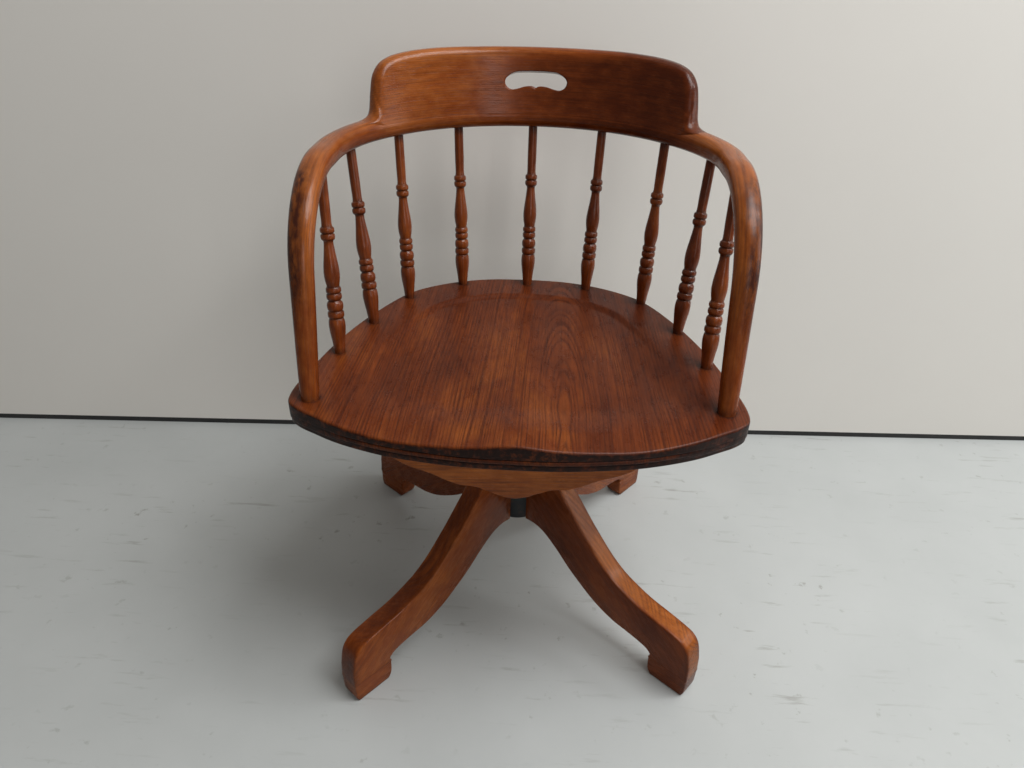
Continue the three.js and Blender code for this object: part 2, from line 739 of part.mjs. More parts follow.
function seatIron() {
  const journalBore = journalRadius + fitGap;
  const roof = ironTop - bossRoof;
  const boss = revolve([
    [0, roof], [journalBore, roof], [journalBore, bossBottom], [bossRadius, bossBottom],
    [bossTopRadius, ironBottom - ironThickness], [bossWebRadius, ironBottom], [bossWebRadius, ironTop],
    [0, ironTop],
  ]);
  const arms = [];
  for (let arm = 0; arm < ironArmCount; arm += 1) {
    const shape = new THREE.Shape();
    const reach = ironArmReach - ironArmWidth / 2;
    shape.moveTo(bossTopRadius, ironArmWidth / 2);
    shape.lineTo(bossTopRadius, -ironArmWidth / 2);
    shape.lineTo(reach, -ironArmWidth / 2);
    shape.absarc(reach, 0, ironArmWidth / 2, -Math.PI / 2, Math.PI / 2);
    const form = { depth: ironThickness, bevelEnabled: false, curveSegments: armEndSteps };
    const plate = new THREE.ExtrudeGeometry(shape, form);
    arms.push(plate.translate(0, 0, ironBottom).rotateZ((arm + 0.5) / ironArmCount * 2 * Math.PI));
  }
  const hole = ([x, y]) => drill(screwHoleRadius, ironBottom - cutOver, ironTop + cutOver).translate(x, y, 0);
  const holes = ironScrewPlaces().map(hole);
  return cut(join([boss, ...arms]), [...holes, setScrewHole()]);
}

// The set screw points at the axis from +X and keeps the journal from lifting out of its socket
function setScrew() {
  const tip = journalRadius - grooveDepth + fitGap;
  const outline = [[0, tip], [setScrewRadius, tip], [setScrewRadius, bossTopRadius], [0, bossTopRadius]];
  return revolve(outline, screwSides).rotateY(Math.PI / 2).translate(0, 0, collarTop + groovePlace);
}

function setScrewHole() {
  const hole = drill(setScrewRadius + fitGap, journalRadius - grooveDepth, bossTopRadius + cutOver);
  return hole.rotateY(Math.PI / 2).translate(0, 0, collarTop + groovePlace);
}

function heightScrew() {
  const grooveBottom = collarTop + groovePlace - grooveHeight / 2;
  const blank = revolve([
    [0, screwBottom], [screwRadius, screwBottom], [screwRadius, collarBottom], [collarRadius, collarBottom],
    [collarRadius, collarTop], [journalRadius, collarTop], [journalRadius, grooveBottom],
    [journalRadius - grooveDepth, grooveBottom], [journalRadius - grooveDepth, grooveBottom + grooveHeight],
    [journalRadius, grooveBottom + grooveHeight], [journalRadius, collarTop + journalLength],
    [0, collarTop + journalLength],
  ]);
  const tall = keywayTop - screwBottom + cutOver;
  const keyway = new THREE.BoxGeometry(keywayWidth, keywayDepth + cutOver, tall);
  keyway.translate(0, screwRadius - keywayDepth + (keywayDepth + cutOver) / 2, keywayTop - tall / 2);
  return cut(blank, [keyway]);
}

// The key screw enters from behind, along -Y, through the hub's wall and the bush, into the keyway
function keyScrew() {
  const head = hubRadius + fitGap;
  const shoulder = hubBore + fitGap;
  const outline = [
    [0, screwRadius - keywayDepth + fitGap], [keyTipRadius, screwRadius - keywayDepth + fitGap],
    [keyTipRadius, shoulder], [keyShankRadius, shoulder], [keyShankRadius, head],
    [keyHeadRadius, head], [keyHeadRadius, head + keyHeadLength], [0, head + keyHeadLength],
  ];
  return revolve(outline, screwSides).rotateX(-Math.PI / 2).translate(0, 0, keyHeight);
}

const keyHole = (radius) => drill(radius + fitGap, screwRadius - keywayDepth, hubRadius + cutOver)
  .rotateX(-Math.PI / 2).translate(0, 0, keyHeight);

function ring(inner, outer, bottom, top) {
  return revolve([[inner, bottom], [outer, bottom], [outer, top], [inner, top]]);
}

function guideBush() {
  return cut(ring(bushBore, bushRadius, hubTop - bushLength, hubTop), [keyHole(keyTipRadius)]);
}

const legAngles = Array.from({ length: legCount }, (_, leg) => (leg + 0.5) / legCount * 2 * Math.PI);

// The dovetail seen from above, along +X, with its sides moved out by the slack
function dovetail(slack, bottom, top) {
  const root = hubRadius - ribSunk;
  const tip = hubRadius + ribDepth + slack;
  const shape = new THREE.Shape([
    new THREE.Vector2(root, -ribRootWidth / 2 - slack), new THREE.Vector2(tip, -ribTipWidth / 2 - slack),
    new THREE.Vector2(tip, ribTipWidth / 2 + slack), new THREE.Vector2(root, ribRootWidth / 2 + slack),
  ]);
  const prism = new THREE.ExtrudeGeometry(shape, { depth: top - bottom, bevelEnabled: false });
  return prism.translate(0, 0, bottom);
}

// A countersunk screw that goes down through the flange into a leg
function legScrew() {
  const outline = [
    [0, flangeTop - legScrewLength], [woodScrewRadius, flangeTop - legScrewLength],
    [woodScrewRadius, flangeTop - woodScrewHeadHeight], [woodScrewHeadRadius, flangeTop], [0, flangeTop],
  ];
  return revolve(outline, screwSides).translate(legScrewReach, 0, 0);
}

// Its hole, wider all round and carried on upwards at the countersink's slope
function legScrewHole() {
  const round = Math.cos(Math.PI / holeSides);
  const shank = screwHoleRadius / round;
  const head = (woodScrewHeadRadius + fitGap) / round;
  const slope = (head - shank) / woodScrewHeadHeight;
  const outline = [
    [0, flangeTop - legScrewLength - fitGap], [shank, flangeTop - legScrewLength - fitGap],
    [shank, flangeTop - woodScrewHeadHeight], [head + slope * cutOver, flangeTop + cutOver],
    [0, flangeTop + cutOver],
  ];
  return revolve(outline, holeSides).translate(legScrewReach, 0, 0);
}

function hubCasting() {
  const barrel = revolve([
    [hubBore, hubBottom], [hubRadius, hubBottom], [hubRadius, legTop + fitGap],
    [flangeRadius, legTop + fitGap], [flangeRadius, flangeTop], [hubBossRadius, flangeTop],
    [hubBossRadius, hubTop], [hubBore, hubTop],
  ]);
  const ribTop = flangeTop - flangeThickness / 2;
  const ribs = legAngles.map((angle) => dovetail(0, ribBottom, ribTop).rotateZ(angle));
  const holes = legAngles.map((angle) => legScrewHole().rotateZ(angle));
  return cut(join([barrel, ...ribs]), [keyHole(keyShankRadius), ...holes]);
}

const legPoint = ([r, z]) => new THREE.Vector2(r * legToeReach, z * legTop);

function legBlank() {
  const shape = new THREE.Shape();
  shape.moveTo(hubBossRadius, legTop);
  shape.lineTo(legUpperShares[0][0] * legToeReach, legTop);
  shape.splineThru(legUpperShares.slice(1).map(legPoint));
  shape.lineTo(legToeReach, shoeHeight + fitGap);
  shape.lineTo(heelReach, shoeHeight + fitGap);
  shape.splineThru(legLowerShares.map(legPoint));
  shape.lineTo(hubBossRadius, legLowerShares.at(-1)[1] * legTop);
  return uprightPlate(outlineShape(shape, 1), legThickness, legArris);
}

function leg() {
  const barrel = drill(hubRadius + fitGap, 0, legTop + cutOver);
  const groove = dovetail(fitGap, ribBottom - fitGap, legTop + cutOver);
  return cut(legBlank(), [barrel, groove, legScrewHole()]);
}

function footShoe() {
  const shape = new THREE.Shape();
  shape.moveTo(shoeHeelReach, 0);
  shape.lineTo(shoeToeReach, 0);
  shape.quadraticCurveTo(legToeReach, shoeHeight / 2, legToeReach, shoeHeight);
  shape.lineTo(heelReach, shoeHeight);
  shape.quadraticCurveTo(heelReach, shoeHeight / 2, shoeHeelReach, 0);
  return uprightPlate(outlineShape(shape, 1), legThickness, legArris);
}

function handNut() {
  const shape = new THREE.Shape();
  const steps = nutLobes * lobeSteps;
  for (let i = 0; i < steps; i += 1) {
    const angle = i / steps * 2 * Math.PI;
    const r = nutRadius + nutLobe * Math.cos(nutLobes * angle);
    if (i === 0) shape.moveTo(r, 0);
    else shape.lineTo(r * Math.cos(angle), r * Math.sin(angle));
  }
  const wheel = new THREE.ExtrudeGeometry(shape, { depth: nutHeight, bevelEnabled: false });
  const bore = drill(screwRadius + fitGap, nutBottom - cutOver, nutTop + cutOver);
  return cut(wheel.translate(0, 0, nutBottom), [bore]);
}

const woodLooks = { roughness: 0.35, metalness: 0 };
const ironLooks = { roughness: 0.6, metalness: 0.7 };
const steelLooks = { roughness: 0.4, metalness: 0.9 };
const colours = {
  seat: 0x7d3e1f,
  bow: 0x8f4a20,
  spindle: 0x7a3a1c,
  leg: 0x8a451f,
  iron: 0x23262a,
  steel: 0x8c8d8f,
  brass: 0xa07c3c,
};

function mesh(name, geometry, colour, looks) {
  const material = new THREE.MeshStandardMaterial({ color: colours[colour], ...looks });
  const piece = new THREE.Mesh(geometry, material);
  piece.name = name;
  return piece;
}

function baseGroup() {
  const group = new THREE.Group();
  group.rotation.z = baseTurn;
  group.add(mesh('hub_casting', hubCasting(), 'iron', ironLooks));
  group.add(mesh('guide_bush', guideBush(), 'brass', steelLooks));
  group.add(mesh('key_screw', keyScrew(), 'steel', steelLooks));
  const legNames = ['rear_right', 'rear_left', 'front_left', 'front_right'];
  legAngles.forEach((angle, i) => {
    const arm = new THREE.Group();
    arm.rotation.z = angle;
    arm.add(mesh(`leg_${legNames[i]}`, leg(), 'leg', woodLooks));
    arm.add(mesh(`foot_shoe_${legNames[i]}`, footShoe(), 'leg', woodLooks));
    arm.add(mesh(`leg_screw_${legNames[i]}`, legScrew(), 'steel', steelLooks));
    group.add(arm);
  });
  const washerTop = hubTop + fitGap + washerThickness;
  const washer = ring(bushBore, washerOuterRadius, hubTop + fitGap, washerTop);
  group.add(mesh('nut_washer', washer, 'steel', steelLooks));
  group.add(mesh('hand_nut', handNut(), 'iron', ironLooks));
  group.add(mesh('height_screw', heightScrew(), 'steel', steelLooks));
  return group;
}

function seatGroup() {
  const group = new THREE.Group();
  group.add(mesh('seat_board', seatBoard(), 'seat', woodLooks));
  group.add(mesh('bearer_front', bearer(bearerRows[0]), 'leg', woodLooks));
  group.add(mesh('bearer_rear', bearer(bearerRows[1]), 'leg', woodLooks));
  bearerRows.flatMap(bearerScrewPlaces).forEach(([x, y], i) => {
    const screw = woodScrew(x, y, bearerScrewHead, seatScrewTip);
    group.add(mesh(`bearer_screw_${i + 1}`, screw, 'steel', steelLooks));
  });
  const ironHead = ironBottom - fitGap - woodScrewHeadHeight;
  ironScrewPlaces().forEach(([x, y], i) => {
    const screw = woodScrew(x, y, ironHead, seatScrewTip);
    group.add(mesh(`iron_screw_${i + 1}`, screw, 'steel', steelLooks));
  });
  group.add(mesh('seat_iron', seatIron(), 'iron', ironLooks));
  group.add(mesh('set_screw', setScrew(), 'steel', steelLooks));
  const washerTop = collarTop + fitGap + washerThickness;
  const washer = ring(journalRadius + fitGap, collarRadius, collarTop + fitGap, washerTop);
  group.add(mesh('seat_washer', washer, 'brass', steelLooks));
  spindleIndexes.forEach((index) => {
    group.add(mesh(`back_spindle_${index + 1}`, spindleBody(index), 'spindle', woodLooks));
  });
  group.add(mesh('arm_bow', armBow(), 'bow', woodLooks));
  group.add(mesh('crest_rail', crestRail(), 'bow', woodLooks));
  dowelBodies(dowelRadius, 0).forEach((dowel, i) => {
    group.add(mesh(`crest_dowel_${i + 1}`, dowel, 'spindle', woodLooks));
  });
  return group;
}

const chair = new THREE.Group();
chair.position.y = axisY;
chair.add(baseGroup());
chair.add(seatGroup());

export default chair;
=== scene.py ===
import math

import bmesh
import bpy
import numpy as np
from mathutils import Matrix, Vector


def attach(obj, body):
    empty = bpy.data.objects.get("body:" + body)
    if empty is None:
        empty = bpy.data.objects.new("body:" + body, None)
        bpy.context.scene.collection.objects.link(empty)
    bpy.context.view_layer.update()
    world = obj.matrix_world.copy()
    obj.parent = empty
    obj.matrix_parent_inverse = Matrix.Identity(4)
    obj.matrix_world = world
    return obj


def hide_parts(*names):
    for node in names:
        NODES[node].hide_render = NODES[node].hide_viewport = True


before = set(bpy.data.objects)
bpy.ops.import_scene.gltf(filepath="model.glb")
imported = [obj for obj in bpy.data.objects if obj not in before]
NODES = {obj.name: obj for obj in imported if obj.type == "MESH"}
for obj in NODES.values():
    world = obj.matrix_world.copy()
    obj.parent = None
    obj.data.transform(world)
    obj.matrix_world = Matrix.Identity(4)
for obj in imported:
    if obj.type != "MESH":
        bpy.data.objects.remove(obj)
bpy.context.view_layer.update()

# All lengths below are millimetres on the swivel axis, as in the part's source; MM takes them to the frame.
MM = 0.001
AXIS_Y = -9.783136
PI = math.pi


# Curves

def lerp(a, b, t):
    return a + (b - a) * t


def smooth(lo, hi, v):
    t = min(max((v - lo) / (hi - lo), 0.0), 1.0)
    return t * t * (3 - 2 * t)


def curve(points, steps, closed=False, plain=False):
    """A smooth curve through these points: the centripetal one of the part's source, or the plain spline of
    its drawn shapes."""
    pts = [np.array(p, float) for p in points]
    row = pts[:1] + pts + pts[-1:]
    if closed:
        row = pts[-1:] + pts + pts[:2]
    elif not plain:
        row = [2 * pts[0] - pts[1], *pts, 2 * pts[-1] - pts[-2]]
    out = []
    for p0, p1, p2, p3 in zip(row, row[1:], row[2:], row[3:]):
        spans = np.linalg.norm([p1 - p0, p2 - p1, p3 - p2], axis=1)
        d0, d1, d2 = spans ** (0 if plain else 0.5)
        m1 = ((p1 - p0) / d0 - (p2 - p0) / (d0 + d1) + (p2 - p1) / d1) * d1
        m2 = ((p2 - p1) / d1 - (p3 - p1) / (d1 + d2) + (p3 - p2) / d2) * d1
        c2 = -3 * p1 + 3 * p2 - 2 * m1 - m2
        c3 = 2 * p1 - 2 * p2 + m1 + m2
        out += [tuple(p1 + m1 * t + c2 * t * t + c3 * t * t * t) for t in (k / steps for k in range(steps))]
    return out if closed else out + [tuple(pts[-1])]


def mirrored(half):
    return [(-x, y) for x, y in reversed(half[1:-1])]


# Meshes

def added(name, data):
    """A new object in the scene."""
    obj = bpy.data.objects.new(name, data)
    bpy.context.scene.collection.objects.link(obj)
    return obj


def closed_mesh(name, verts, faces, turn=0.0):
    """A mesh in the frame from points in millimetres on the swivel axis, with its faces pointing out."""
    pts = np.array(verts, float)
    if turn:
        c, s = math.cos(turn), math.sin(turn)
        pts = pts @ np.array([[c, s, 0], [-s, c, 0], [0, 0, 1]])
    pts[:, 1] += AXIS_Y
    mesh = bpy.data.meshes.new(name)
    mesh.from_pydata((pts * MM).tolist(), [], faces)
    bm = bmesh.new()
    bm.from_mesh(mesh)
    bmesh.ops.recalc_face_normals(bm, faces=bm.faces)
    bm.to_mesh(mesh)
    bm.free()
    return mesh


def piece(name, verts, faces, body, material, replaces, grain=None, dark=None, tone=None, turn=0.0,
          crease=40.0):
    """A mesh piece that stands for a node. grain, dark and tone are values for each point, and edges
    sharper than crease degrees stay sharp."""
    mesh = closed_mesh(name, verts, faces, turn)
    if grain is not None:
        attribute = mesh.attributes.new("grain", "FLOAT_VECTOR", "POINT")
        attribute.data.foreach_set("vector", (np.array(grain, float) * MM).astype(np.float32).ravel())
    for key, values in (("dark", dark), ("tone", tone)):
        attribute = mesh.attributes.new(key, "FLOAT", "POINT")
        if values is not None:
            attribute.data.foreach_set("value", np.array(values, np.float32))
    bm = bmesh.new()
    bm.from_mesh(mesh)
    limit = math.radians(crease)
    for e in bm.edges:
        e.smooth = len(e.link_faces) == 2 and e.calc_face_angle(0.0) < limit
    for f in bm.faces:
        f.smooth = True
    bm.to_mesh(mesh)
    bm.free()
    mesh.materials.append(material)
    obj = added(name, mesh)
    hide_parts(replaces)
    # The slots have the materials' names, but for the number that Blender adds
    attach(obj, body)
    return obj


def skin(rings, ends="fans"):
    """Points and faces of a body through equally long rings. Its ends are fans or single faces, or meet."""
    count, cols = len(rings), len(rings[0])
    verts = [p for ring in rings for p in ring]
    faces = []
    for r in range(count if ends == "meet" else count - 1):
        for i in range(cols):
            a, b, j = r * cols, (r + 1) % count * cols, (i + 1) % cols
            faces.append((a + i, a + j, b + j, b + i))
    for start in (0, (count - 1) * cols):
        end = range(start, start + cols)
        if ends == "single":
            faces.append(tuple(end[::-1] if start else end))
        if ends == "fans":
            verts.append(tuple(np.mean(verts[start:start + cols], axis=0)))
            faces += [(v, start + (v + 1 - start) % cols, len(verts) - 1) for v in end]
    return verts, faces


def circle(radius, z, sides):
    return [(radius * math.cos(2 * PI * i / sides), radius * math.sin(2 * PI * i / sides), z)
            for i in range(sides)]


def lathe(profile, sides, ends="fans"):
    """Turns (radius, height) pairs about Z."""
    return skin([circle(r, z, sides) for r, z in profile], ends)


def rounded(profile, radius, steps=3):
    """The profile with its corners rounded by up to this radius."""
    pts = [np.array(p, float) for p in profile]
    out = [tuple(pts[0])]
    for a, b, c in zip(pts, pts[1:], pts[2:]):
        la, lc = np.linalg.norm(a - b), np.linalg.norm(c - b)
        r = min(radius, la * 0.45, lc * 0.45)
        start, end = b + (a - b) / la * r, b + (c - b) / lc * r
        for k in range(steps + 1):
            t = k / steps
            out.append(tuple((1 - t) ** 2 * start + 2 * t * (1 - t) * b + t * t * end))
    out.append(tuple(pts[-1]))
    return out


def inset(outline, amount):
    """A closed outline moved to its left by an amount, which may differ from point to point."""
    out = []
    after = outline[1:] + outline[:1]
    for i, ((x, y), (ax, ay), a) in enumerate(zip(outline, after, np.broadcast_to(amount, len(outline)))):
        dx, dy = ax - outline[i - 1][0], ay - outline[i - 1][1]
        length = math.hypot(dx, dy)
        out.append((x - dy / length * a, y + dx / length * a))
    return out


def area(outline):
    return sum(a[0] * b[1] - b[0] * a[1] for a, b in zip(outline, outline[1:] + outline[:1])) / 2


def board(outline, thickness, arris, layers=2, steps=3, sharp=None):
    """A sawn board: its outline, as (x, z) pairs, stands on the XZ plane and its arrises are rounded,
    but for points that sharp picks. The caps are single faces, so the outline may be hollow."""
    if area(outline) < 0:
        outline = outline[::-1]
    half = thickness / 2
    amount = np.array([0.0 if sharp and sharp(x, z) else arris for x, z in outline])
    arc = [k / steps * PI / 2 for k in range(steps + 1)]
    arc = [(1 - math.sin(a), arris * (1 - math.cos(a))) for a in arc]
    levels = [(cut, -half + sunk) for cut, sunk in arc]
    levels += [(0.0, lerp(-half + arris, half - arris, k / layers)) for k in range(1, layers)]
    levels += [(cut, half - sunk) for cut, sunk in reversed(arc)]
    return skin([[(x, y, z) for x, z in inset(outline, amount * cut)] for cut, y in levels], "single")


def sliced(verts, faces, cuts):
    """The body with its faces cut along planes, (axis, place) each, so that values for each point can follow
    a slope across a wide face."""
    bm = bmesh.new()
    points = [bm.verts.new(v) for v in verts]
    for f in faces:
        bm.faces.new([points[i] for i in f])
    for axis, place in cuts:
        direction = [float(axis == k) for k in range(3)]
        bmesh.ops.bisect_plane(bm, geom=bm.verts[:] + bm.edges[:] + bm.faces[:], dist=1e-4,
                               plane_co=[place * d for d in direction], plane_no=direction)
    bm.verts.index_update()
    verts = [tuple(v.co) for v in bm.verts]
    faces = [tuple(v.index for v in f.verts) for f in bm.faces]
    bm.free()
    return verts, faces


# Materials

def fill(tree, socket, value):
    """Links a socket to another, or sets it to a number, a colour or a vector."""
    if isinstance(value, bpy.types.NodeSocket):
        tree.links.new(value, socket)
    elif socket.type == "RGBA":
        socket.default_value = (*value, 1.0)
    else:
        socket.default_value = value


class Nodes:
    """A new material and its nodes. Values are numbers or the sockets of other nodes."""

    def __init__(self, name):
        self.material = bpy.data.materials.new(name)
        self.material.use_nodes = True
        self.tree = self.material.node_tree
        self.shader = self.tree.nodes["Principled BSDF"]

    def put(self, kind, inputs=(), **settings):
        made = self.tree.nodes.new("ShaderNode" + kind)
        for key, value in settings.items():
            setattr(made, key, value)
        for key, value in dict(inputs).items():
            fill(self.tree, made.inputs[key], value)
        return made

    def math(self, operation, *values, clamp=False):
        made = self.put("Math", enumerate(values), operation=operation, use_clamp=clamp)
        return made.outputs[0]

    def plus(self, a, b, clamp=False):
        return self.math("ADD", a, b, clamp=clamp)

    def times(self, a, b, clamp=False):
        return self.math("MULTIPLY", a, b, clamp=clamp)

    def scaled(self, a, b, c, clamp=False):
        """a times b, plus c."""
        return self.math("MULTIPLY_ADD", a, b, c, clamp=clamp)

    def ramp(self, value, stops, interpolation="LINEAR"):
        made = self.put("ValToRGB", {"Fac": value})
        made.color_ramp.interpolation = interpolation
        elements = made.color_ramp.elements
        while len(elements) < len(stops):
            elements.new(0.5)
        for element, (place, colour) in zip(elements, stops):
            element.position = place
            element.color = (*(colour if hasattr(colour, "__len__") else [colour] * 3), 1.0)
        return made.outputs["Color"]

    def mix(self, factor, a, b, blend="MIX"):
        return self.put("Mix", {0: factor, 6: a, 7: b}, data_type="RGBA", blend_type=blend).outputs[2]

    def attribute(self, name, output="Fac"):
        return self.put("Attribute", attribute_name=name).outputs[output]

    def noise(self, vector, scale, detail, roughness=0.5):
        inputs = {"Vector": vector, "Scale": scale, "Detail": detail, "Roughness": roughness}
        return self.put("TexNoise", inputs).outputs["Fac"]

    def finish(self, base, roughness, height, strength, distance, **shader):
        """Links colour, roughness and bump, and sets the shader's constants."""
        bump = self.put("Bump", {"Height": height, "Strength": strength, "Distance": distance}).outputs[0]
        shader.update({"Base Color": base, "Roughness": roughness, "Normal": bump})
        for key, value in shader.items():
            fill(self.tree, self.shader.inputs[key.replace("_", " ")], value)
        return self.material


def wood(name, light, middle, deep, pore, ring, pith, slope, ring_depth, wander=4.0, pore_depth=0.6,
         thread_depth=1.0, blotch=0.5, mottle=0.4, gloss=0.3, shine=0.2, heart=0.0, least_patch=0.35,
         edge=(0.36, 0.6), grime_and_shade=(0.013, 0.0035, 0.002)):
    """Stained and polished ring-porous wood. The grain attribute is (along, across, depth) in the board."""
    n = Nodes(name)
    grain = n.attribute("grain", "Vector")
    along, over, through = n.put("SeparateXYZ", {0: grain}).outputs

    def noise(scale, detail, roughness=0.5):
        return n.noise(n.put("Mapping", {"Vector": grain, "Scale": scale}).outputs[0], 1.0, detail, roughness)

    def along_rings(value, scale):
        return n.noise(n.put("CombineXYZ", {0: value}).outputs[0], scale, 1.0)

    # The rings wander slowly along the board
    warp = n.scaled(noise((2.2, 9.0, 9.0), 1.0, 0.4), wander * 4 * MM, -wander * 2 * MM)
    depth = n.plus(through, n.scaled(along, slope, pith[1] * MM))
    across = n.plus(over, pith[0] * MM)
    distance = n.math("SQRT", n.plus(n.times(across, across), n.times(depth, depth)))
    radius = n.plus(distance, warp)
    count = n.scaled(along_rings(radius, 90.0), 3.2, n.times(radius, 1 / (ring * MM)))
    year = n.math("FRACT", count)
    late = n.ramp(year, [(0.0, 1.0), (0.16, 0.95), (0.4, 0.2), (0.66, 0.0), (0.86, 0.2), (1.0, 1.0)], "EASE")
    # No two rings are equally dark, and each fades in and out along its length
    fade = [(0.3, 0.45), (0.56, 1.0)]
    late = n.times(late, n.ramp(along_rings(count, 0.41), fade))
    late = n.times(late, n.ramp(noise((7.0, 50.0, 50.0), 2.0), fade))
    # Pores: short dark streaks, mostly in the early wood
    streak = n.ramp(noise((42.0, 1500.0, 1500.0), 2.0, 0.6), [(0.5, 0.0), (0.68, 1.0)])
    thread = noise((9.0, 420.0, 420.0), 3.0, 0.55)
    pores = n.times(streak, n.scaled(late, 0.75, 0.25))
    # Clouds and mottles of lighter and darker stain, and the tone that the piece asks for: stain and wear on
    # some pieces, painted light and shade on the crest, the back of the bow and the legs
    cloud = noise((5.0, 14.0, 14.0), 4.0, 0.55)
    spots = noise((40.0, 85.0, 85.0), 5.0, 0.6)
    tint = n.scaled(cloud, 2 * blotch, 0.5 - blotch)
    tint = n.plus(tint, n.scaled(spots, 2 * mottle, -mottle))
    tint = n.plus(tint, n.attribute("tone"), clamp=True)
    base = n.ramp(tint, [(0.1, deep), (0.5, middle), (0.9, light)])
    base = n.mix(n.times(late, ring_depth), base, deep)
    fine = [(0.3, 1 - 0.28 * thread_depth), (0.5, 1 - 0.02 * thread_depth), (0.72, 1 + 0.14 * thread_depth)]
    base = n.mix(1.0, base, n.ramp(thread, fine), "MULTIPLY")
    base = n.mix(n.times(pores, pore_depth), base, pore)
    if heart:
        near = n.ramp(n.times(radius, 1 / (20 * MM)), [(0.1, heart), (0.6, 0.0)])
        base = n.mix(near, base, light)
    # Grime, dark joints and painted shade, where the piece's dark attribute asks for them, broken up by noise
    patch = n.ramp(noise((60.0, 120.0, 120.0), 5.0, 0.65), [(edge[0], least_patch), (edge[1], 1.0)])
    grime_and_shade_mask = n.times(n.attribute("dark"), patch, clamp=True)
    base = n.mix(grime_and_shade_mask, base, grime_and_shade)
    rough = n.plus(n.scaled(pores, 0.2, gloss), n.scaled(spots, 0.3, -0.15))
    rough = n.scaled(grime_and_shade_mask, 0.12, rough, clamp=True)
    height = n.scaled(pores, -0.6, n.times(late, -0.25))
    return n.finish(base, rough, height, 0.35, 0.0004, Specular_IOR_Level=shine, Coat_Weight=0.03,
                    Coat_Roughness=0.12)


def metal(name, colour, worn, roughness, metallic, grain_scale=60.0, bump=0.3, rust=None):
    n = Nodes(name)
    place = n.put("TexCoord").outputs["Object"]
    cloud = n.noise(place, grain_scale, 6.0, 0.6)
    cast = n.noise(place, grain_scale * 12, 3.0)
    base = n.ramp(cloud, [(0.35, colour), (0.68, worn)])
    if rust:
        spot = n.ramp(cloud, [(0.55, 0.0), (0.7, 1.0)])
        base = n.mix(n.times(spot, 0.7), base, rust)
    rough = n.scaled(cloud, 0.3, roughness - 0.15, clamp=True)
    return n.finish(base, rough, cast, bump, 0.0005, Metallic=metallic)


SEAT_WOOD = wood(
    "seat_wood", light=(0.24, 0.062, 0.011), middle=(0.135, 0.028, 0.006), deep=(0.055, 0.0095, 0.003),
    pore=(0.022, 0.005, 0.002), ring=4.4, pith=(-58.0, 32.0), slope=0.11, wander=6.0, ring_depth=0.72,
    pore_depth=0.75, blotch=0.6, mottle=0.3, heart=0.4, shine=0.14)
BOW_WOOD = wood(
    "bow_wood", light=(0.32, 0.092, 0.017), middle=(0.18, 0.038, 0.006), deep=(0.066, 0.011, 0.0015),
    pore=(0.04, 0.008, 0.003), ring=2.6, pith=(30.0, 90.0), slope=0.02, ring_depth=0.2, thread_depth=0.9,
    blotch=0.3, mottle=0.3, gloss=0.2, least_patch=0.4, edge=(0.4, 0.6), grime_and_shade=(0.042, 0.0095, 0.0045))
TURNED_WOOD = wood(
    "turned_wood", light=(0.29, 0.075, 0.013), middle=(0.175, 0.036, 0.0065), deep=(0.065, 0.0115, 0.003),
    pore=(0.03, 0.007, 0.003), ring=2.4, pith=(20.0, 60.0), slope=0.02, ring_depth=0.3, pore_depth=0.4,
    thread_depth=0.8, blotch=0.7, mottle=0.35, gloss=0.2, shine=0.28)
LEG_WOOD = wood(
    "leg_wood", light=(0.37, 0.105, 0.015), middle=(0.2, 0.043, 0.006), deep=(0.075, 0.0125, 0.002),
    pore=(0.03, 0.007, 0.003), ring=3.4, pith=(15.0, 50.0), slope=0.06, ring_depth=0.4,
    thread_depth=0.8, mottle=0.3, gloss=0.26, shine=0.16)
IRON = metal("iron", (0.003, 0.004, 0.0055), (0.009, 0.011, 0.014), 0.55, 0.2, rust=(0.05, 0.024, 0.012))
STEEL = metal("steel", (0.3, 0.29, 0.28), (0.16, 0.14, 0.12), 0.42, 1.0, grain_scale=140.0, bump=0.15,
              rust=(0.12, 0.06, 0.03))
BRASS = metal("brass", (0.5, 0.33, 0.12), (0.3, 0.18, 0.07), 0.4, 1.0, grain_scale=120.0, bump=0.12)


# The seat board

SEAT_TOP, SEAT_THICK, SEAT_HALF, SEAT_BACK, SEAT_FRONT = 437.0, 30.0, 285.0, 236.0, 245.0
SEAT_BOTTOM = SEAT_TOP - SEAT_THICK
SADDLE_DEEP, SEAT_ROUND = 9.0, 3.5
SEAT_OUTLINE = [
    (0, 1), (0.2, 0.987), (0.36, 0.938), (0.53, 0.835), (0.655, 0.705), (0.787, 0.42), (0.896, 0.07),
    (0.967, -0.283), (1.003, -0.57), (0.991, -0.672), (0.943, -0.73), (0.867, -0.783), (0.745, -0.856),
    (0.54, -0.936), (0.35, -0.976), (0.17, -0.997), (0, -1)]
SPINDLE_FEET = [
    (-0.877, -0.152), (-0.782, 0.242), (-0.65, 0.631), (-0.374, 0.885), (0, 0.922),
    (0.339, 0.888), (0.642, 0.685), (0.797, 0.268), (0.884, -0.148)]
SPINDLE_HEADS = [-1.02, -0.76, -0.533, -0.288, 0, 0.267, 0.527, 0.755, 1.03]
POST_FOOT = (258.0, -150.0)
BOW_SKEW = 4.5


def seat_place(x, y):
    return x * SEAT_HALF, y * (SEAT_BACK if y > 0 else SEAT_FRONT)


def saddle(x, y, share):
    soft = 1 - smooth(0.6, 0.87, share)
    step = 1 - smooth(0.7, 0.755, share)
    dish = 1 - smooth(0.35, 0.755, share)
    rim = lerp(soft, lerp(dish, step, 0.5), smooth(-0.25, 0.5, y / SEAT_BACK))
    front = smooth(0.1, 1, -y / SEAT_FRONT)
    across = abs(x) / SEAT_HALF
    hollow = math.exp(-(((across - 0.52) / 0.26) ** 2))
    pommel = 0.75 * front * math.exp(-((across / 0.22) ** 2))
    lip = smooth(0.5, 1, -y / SEAT_FRONT) * math.exp(-((across / 0.135) ** 2))
    return SADDLE_DEEP * (rim * (1 - pommel) + (1 - rim) * front * hollow * 0.55 - lip * 0.58)
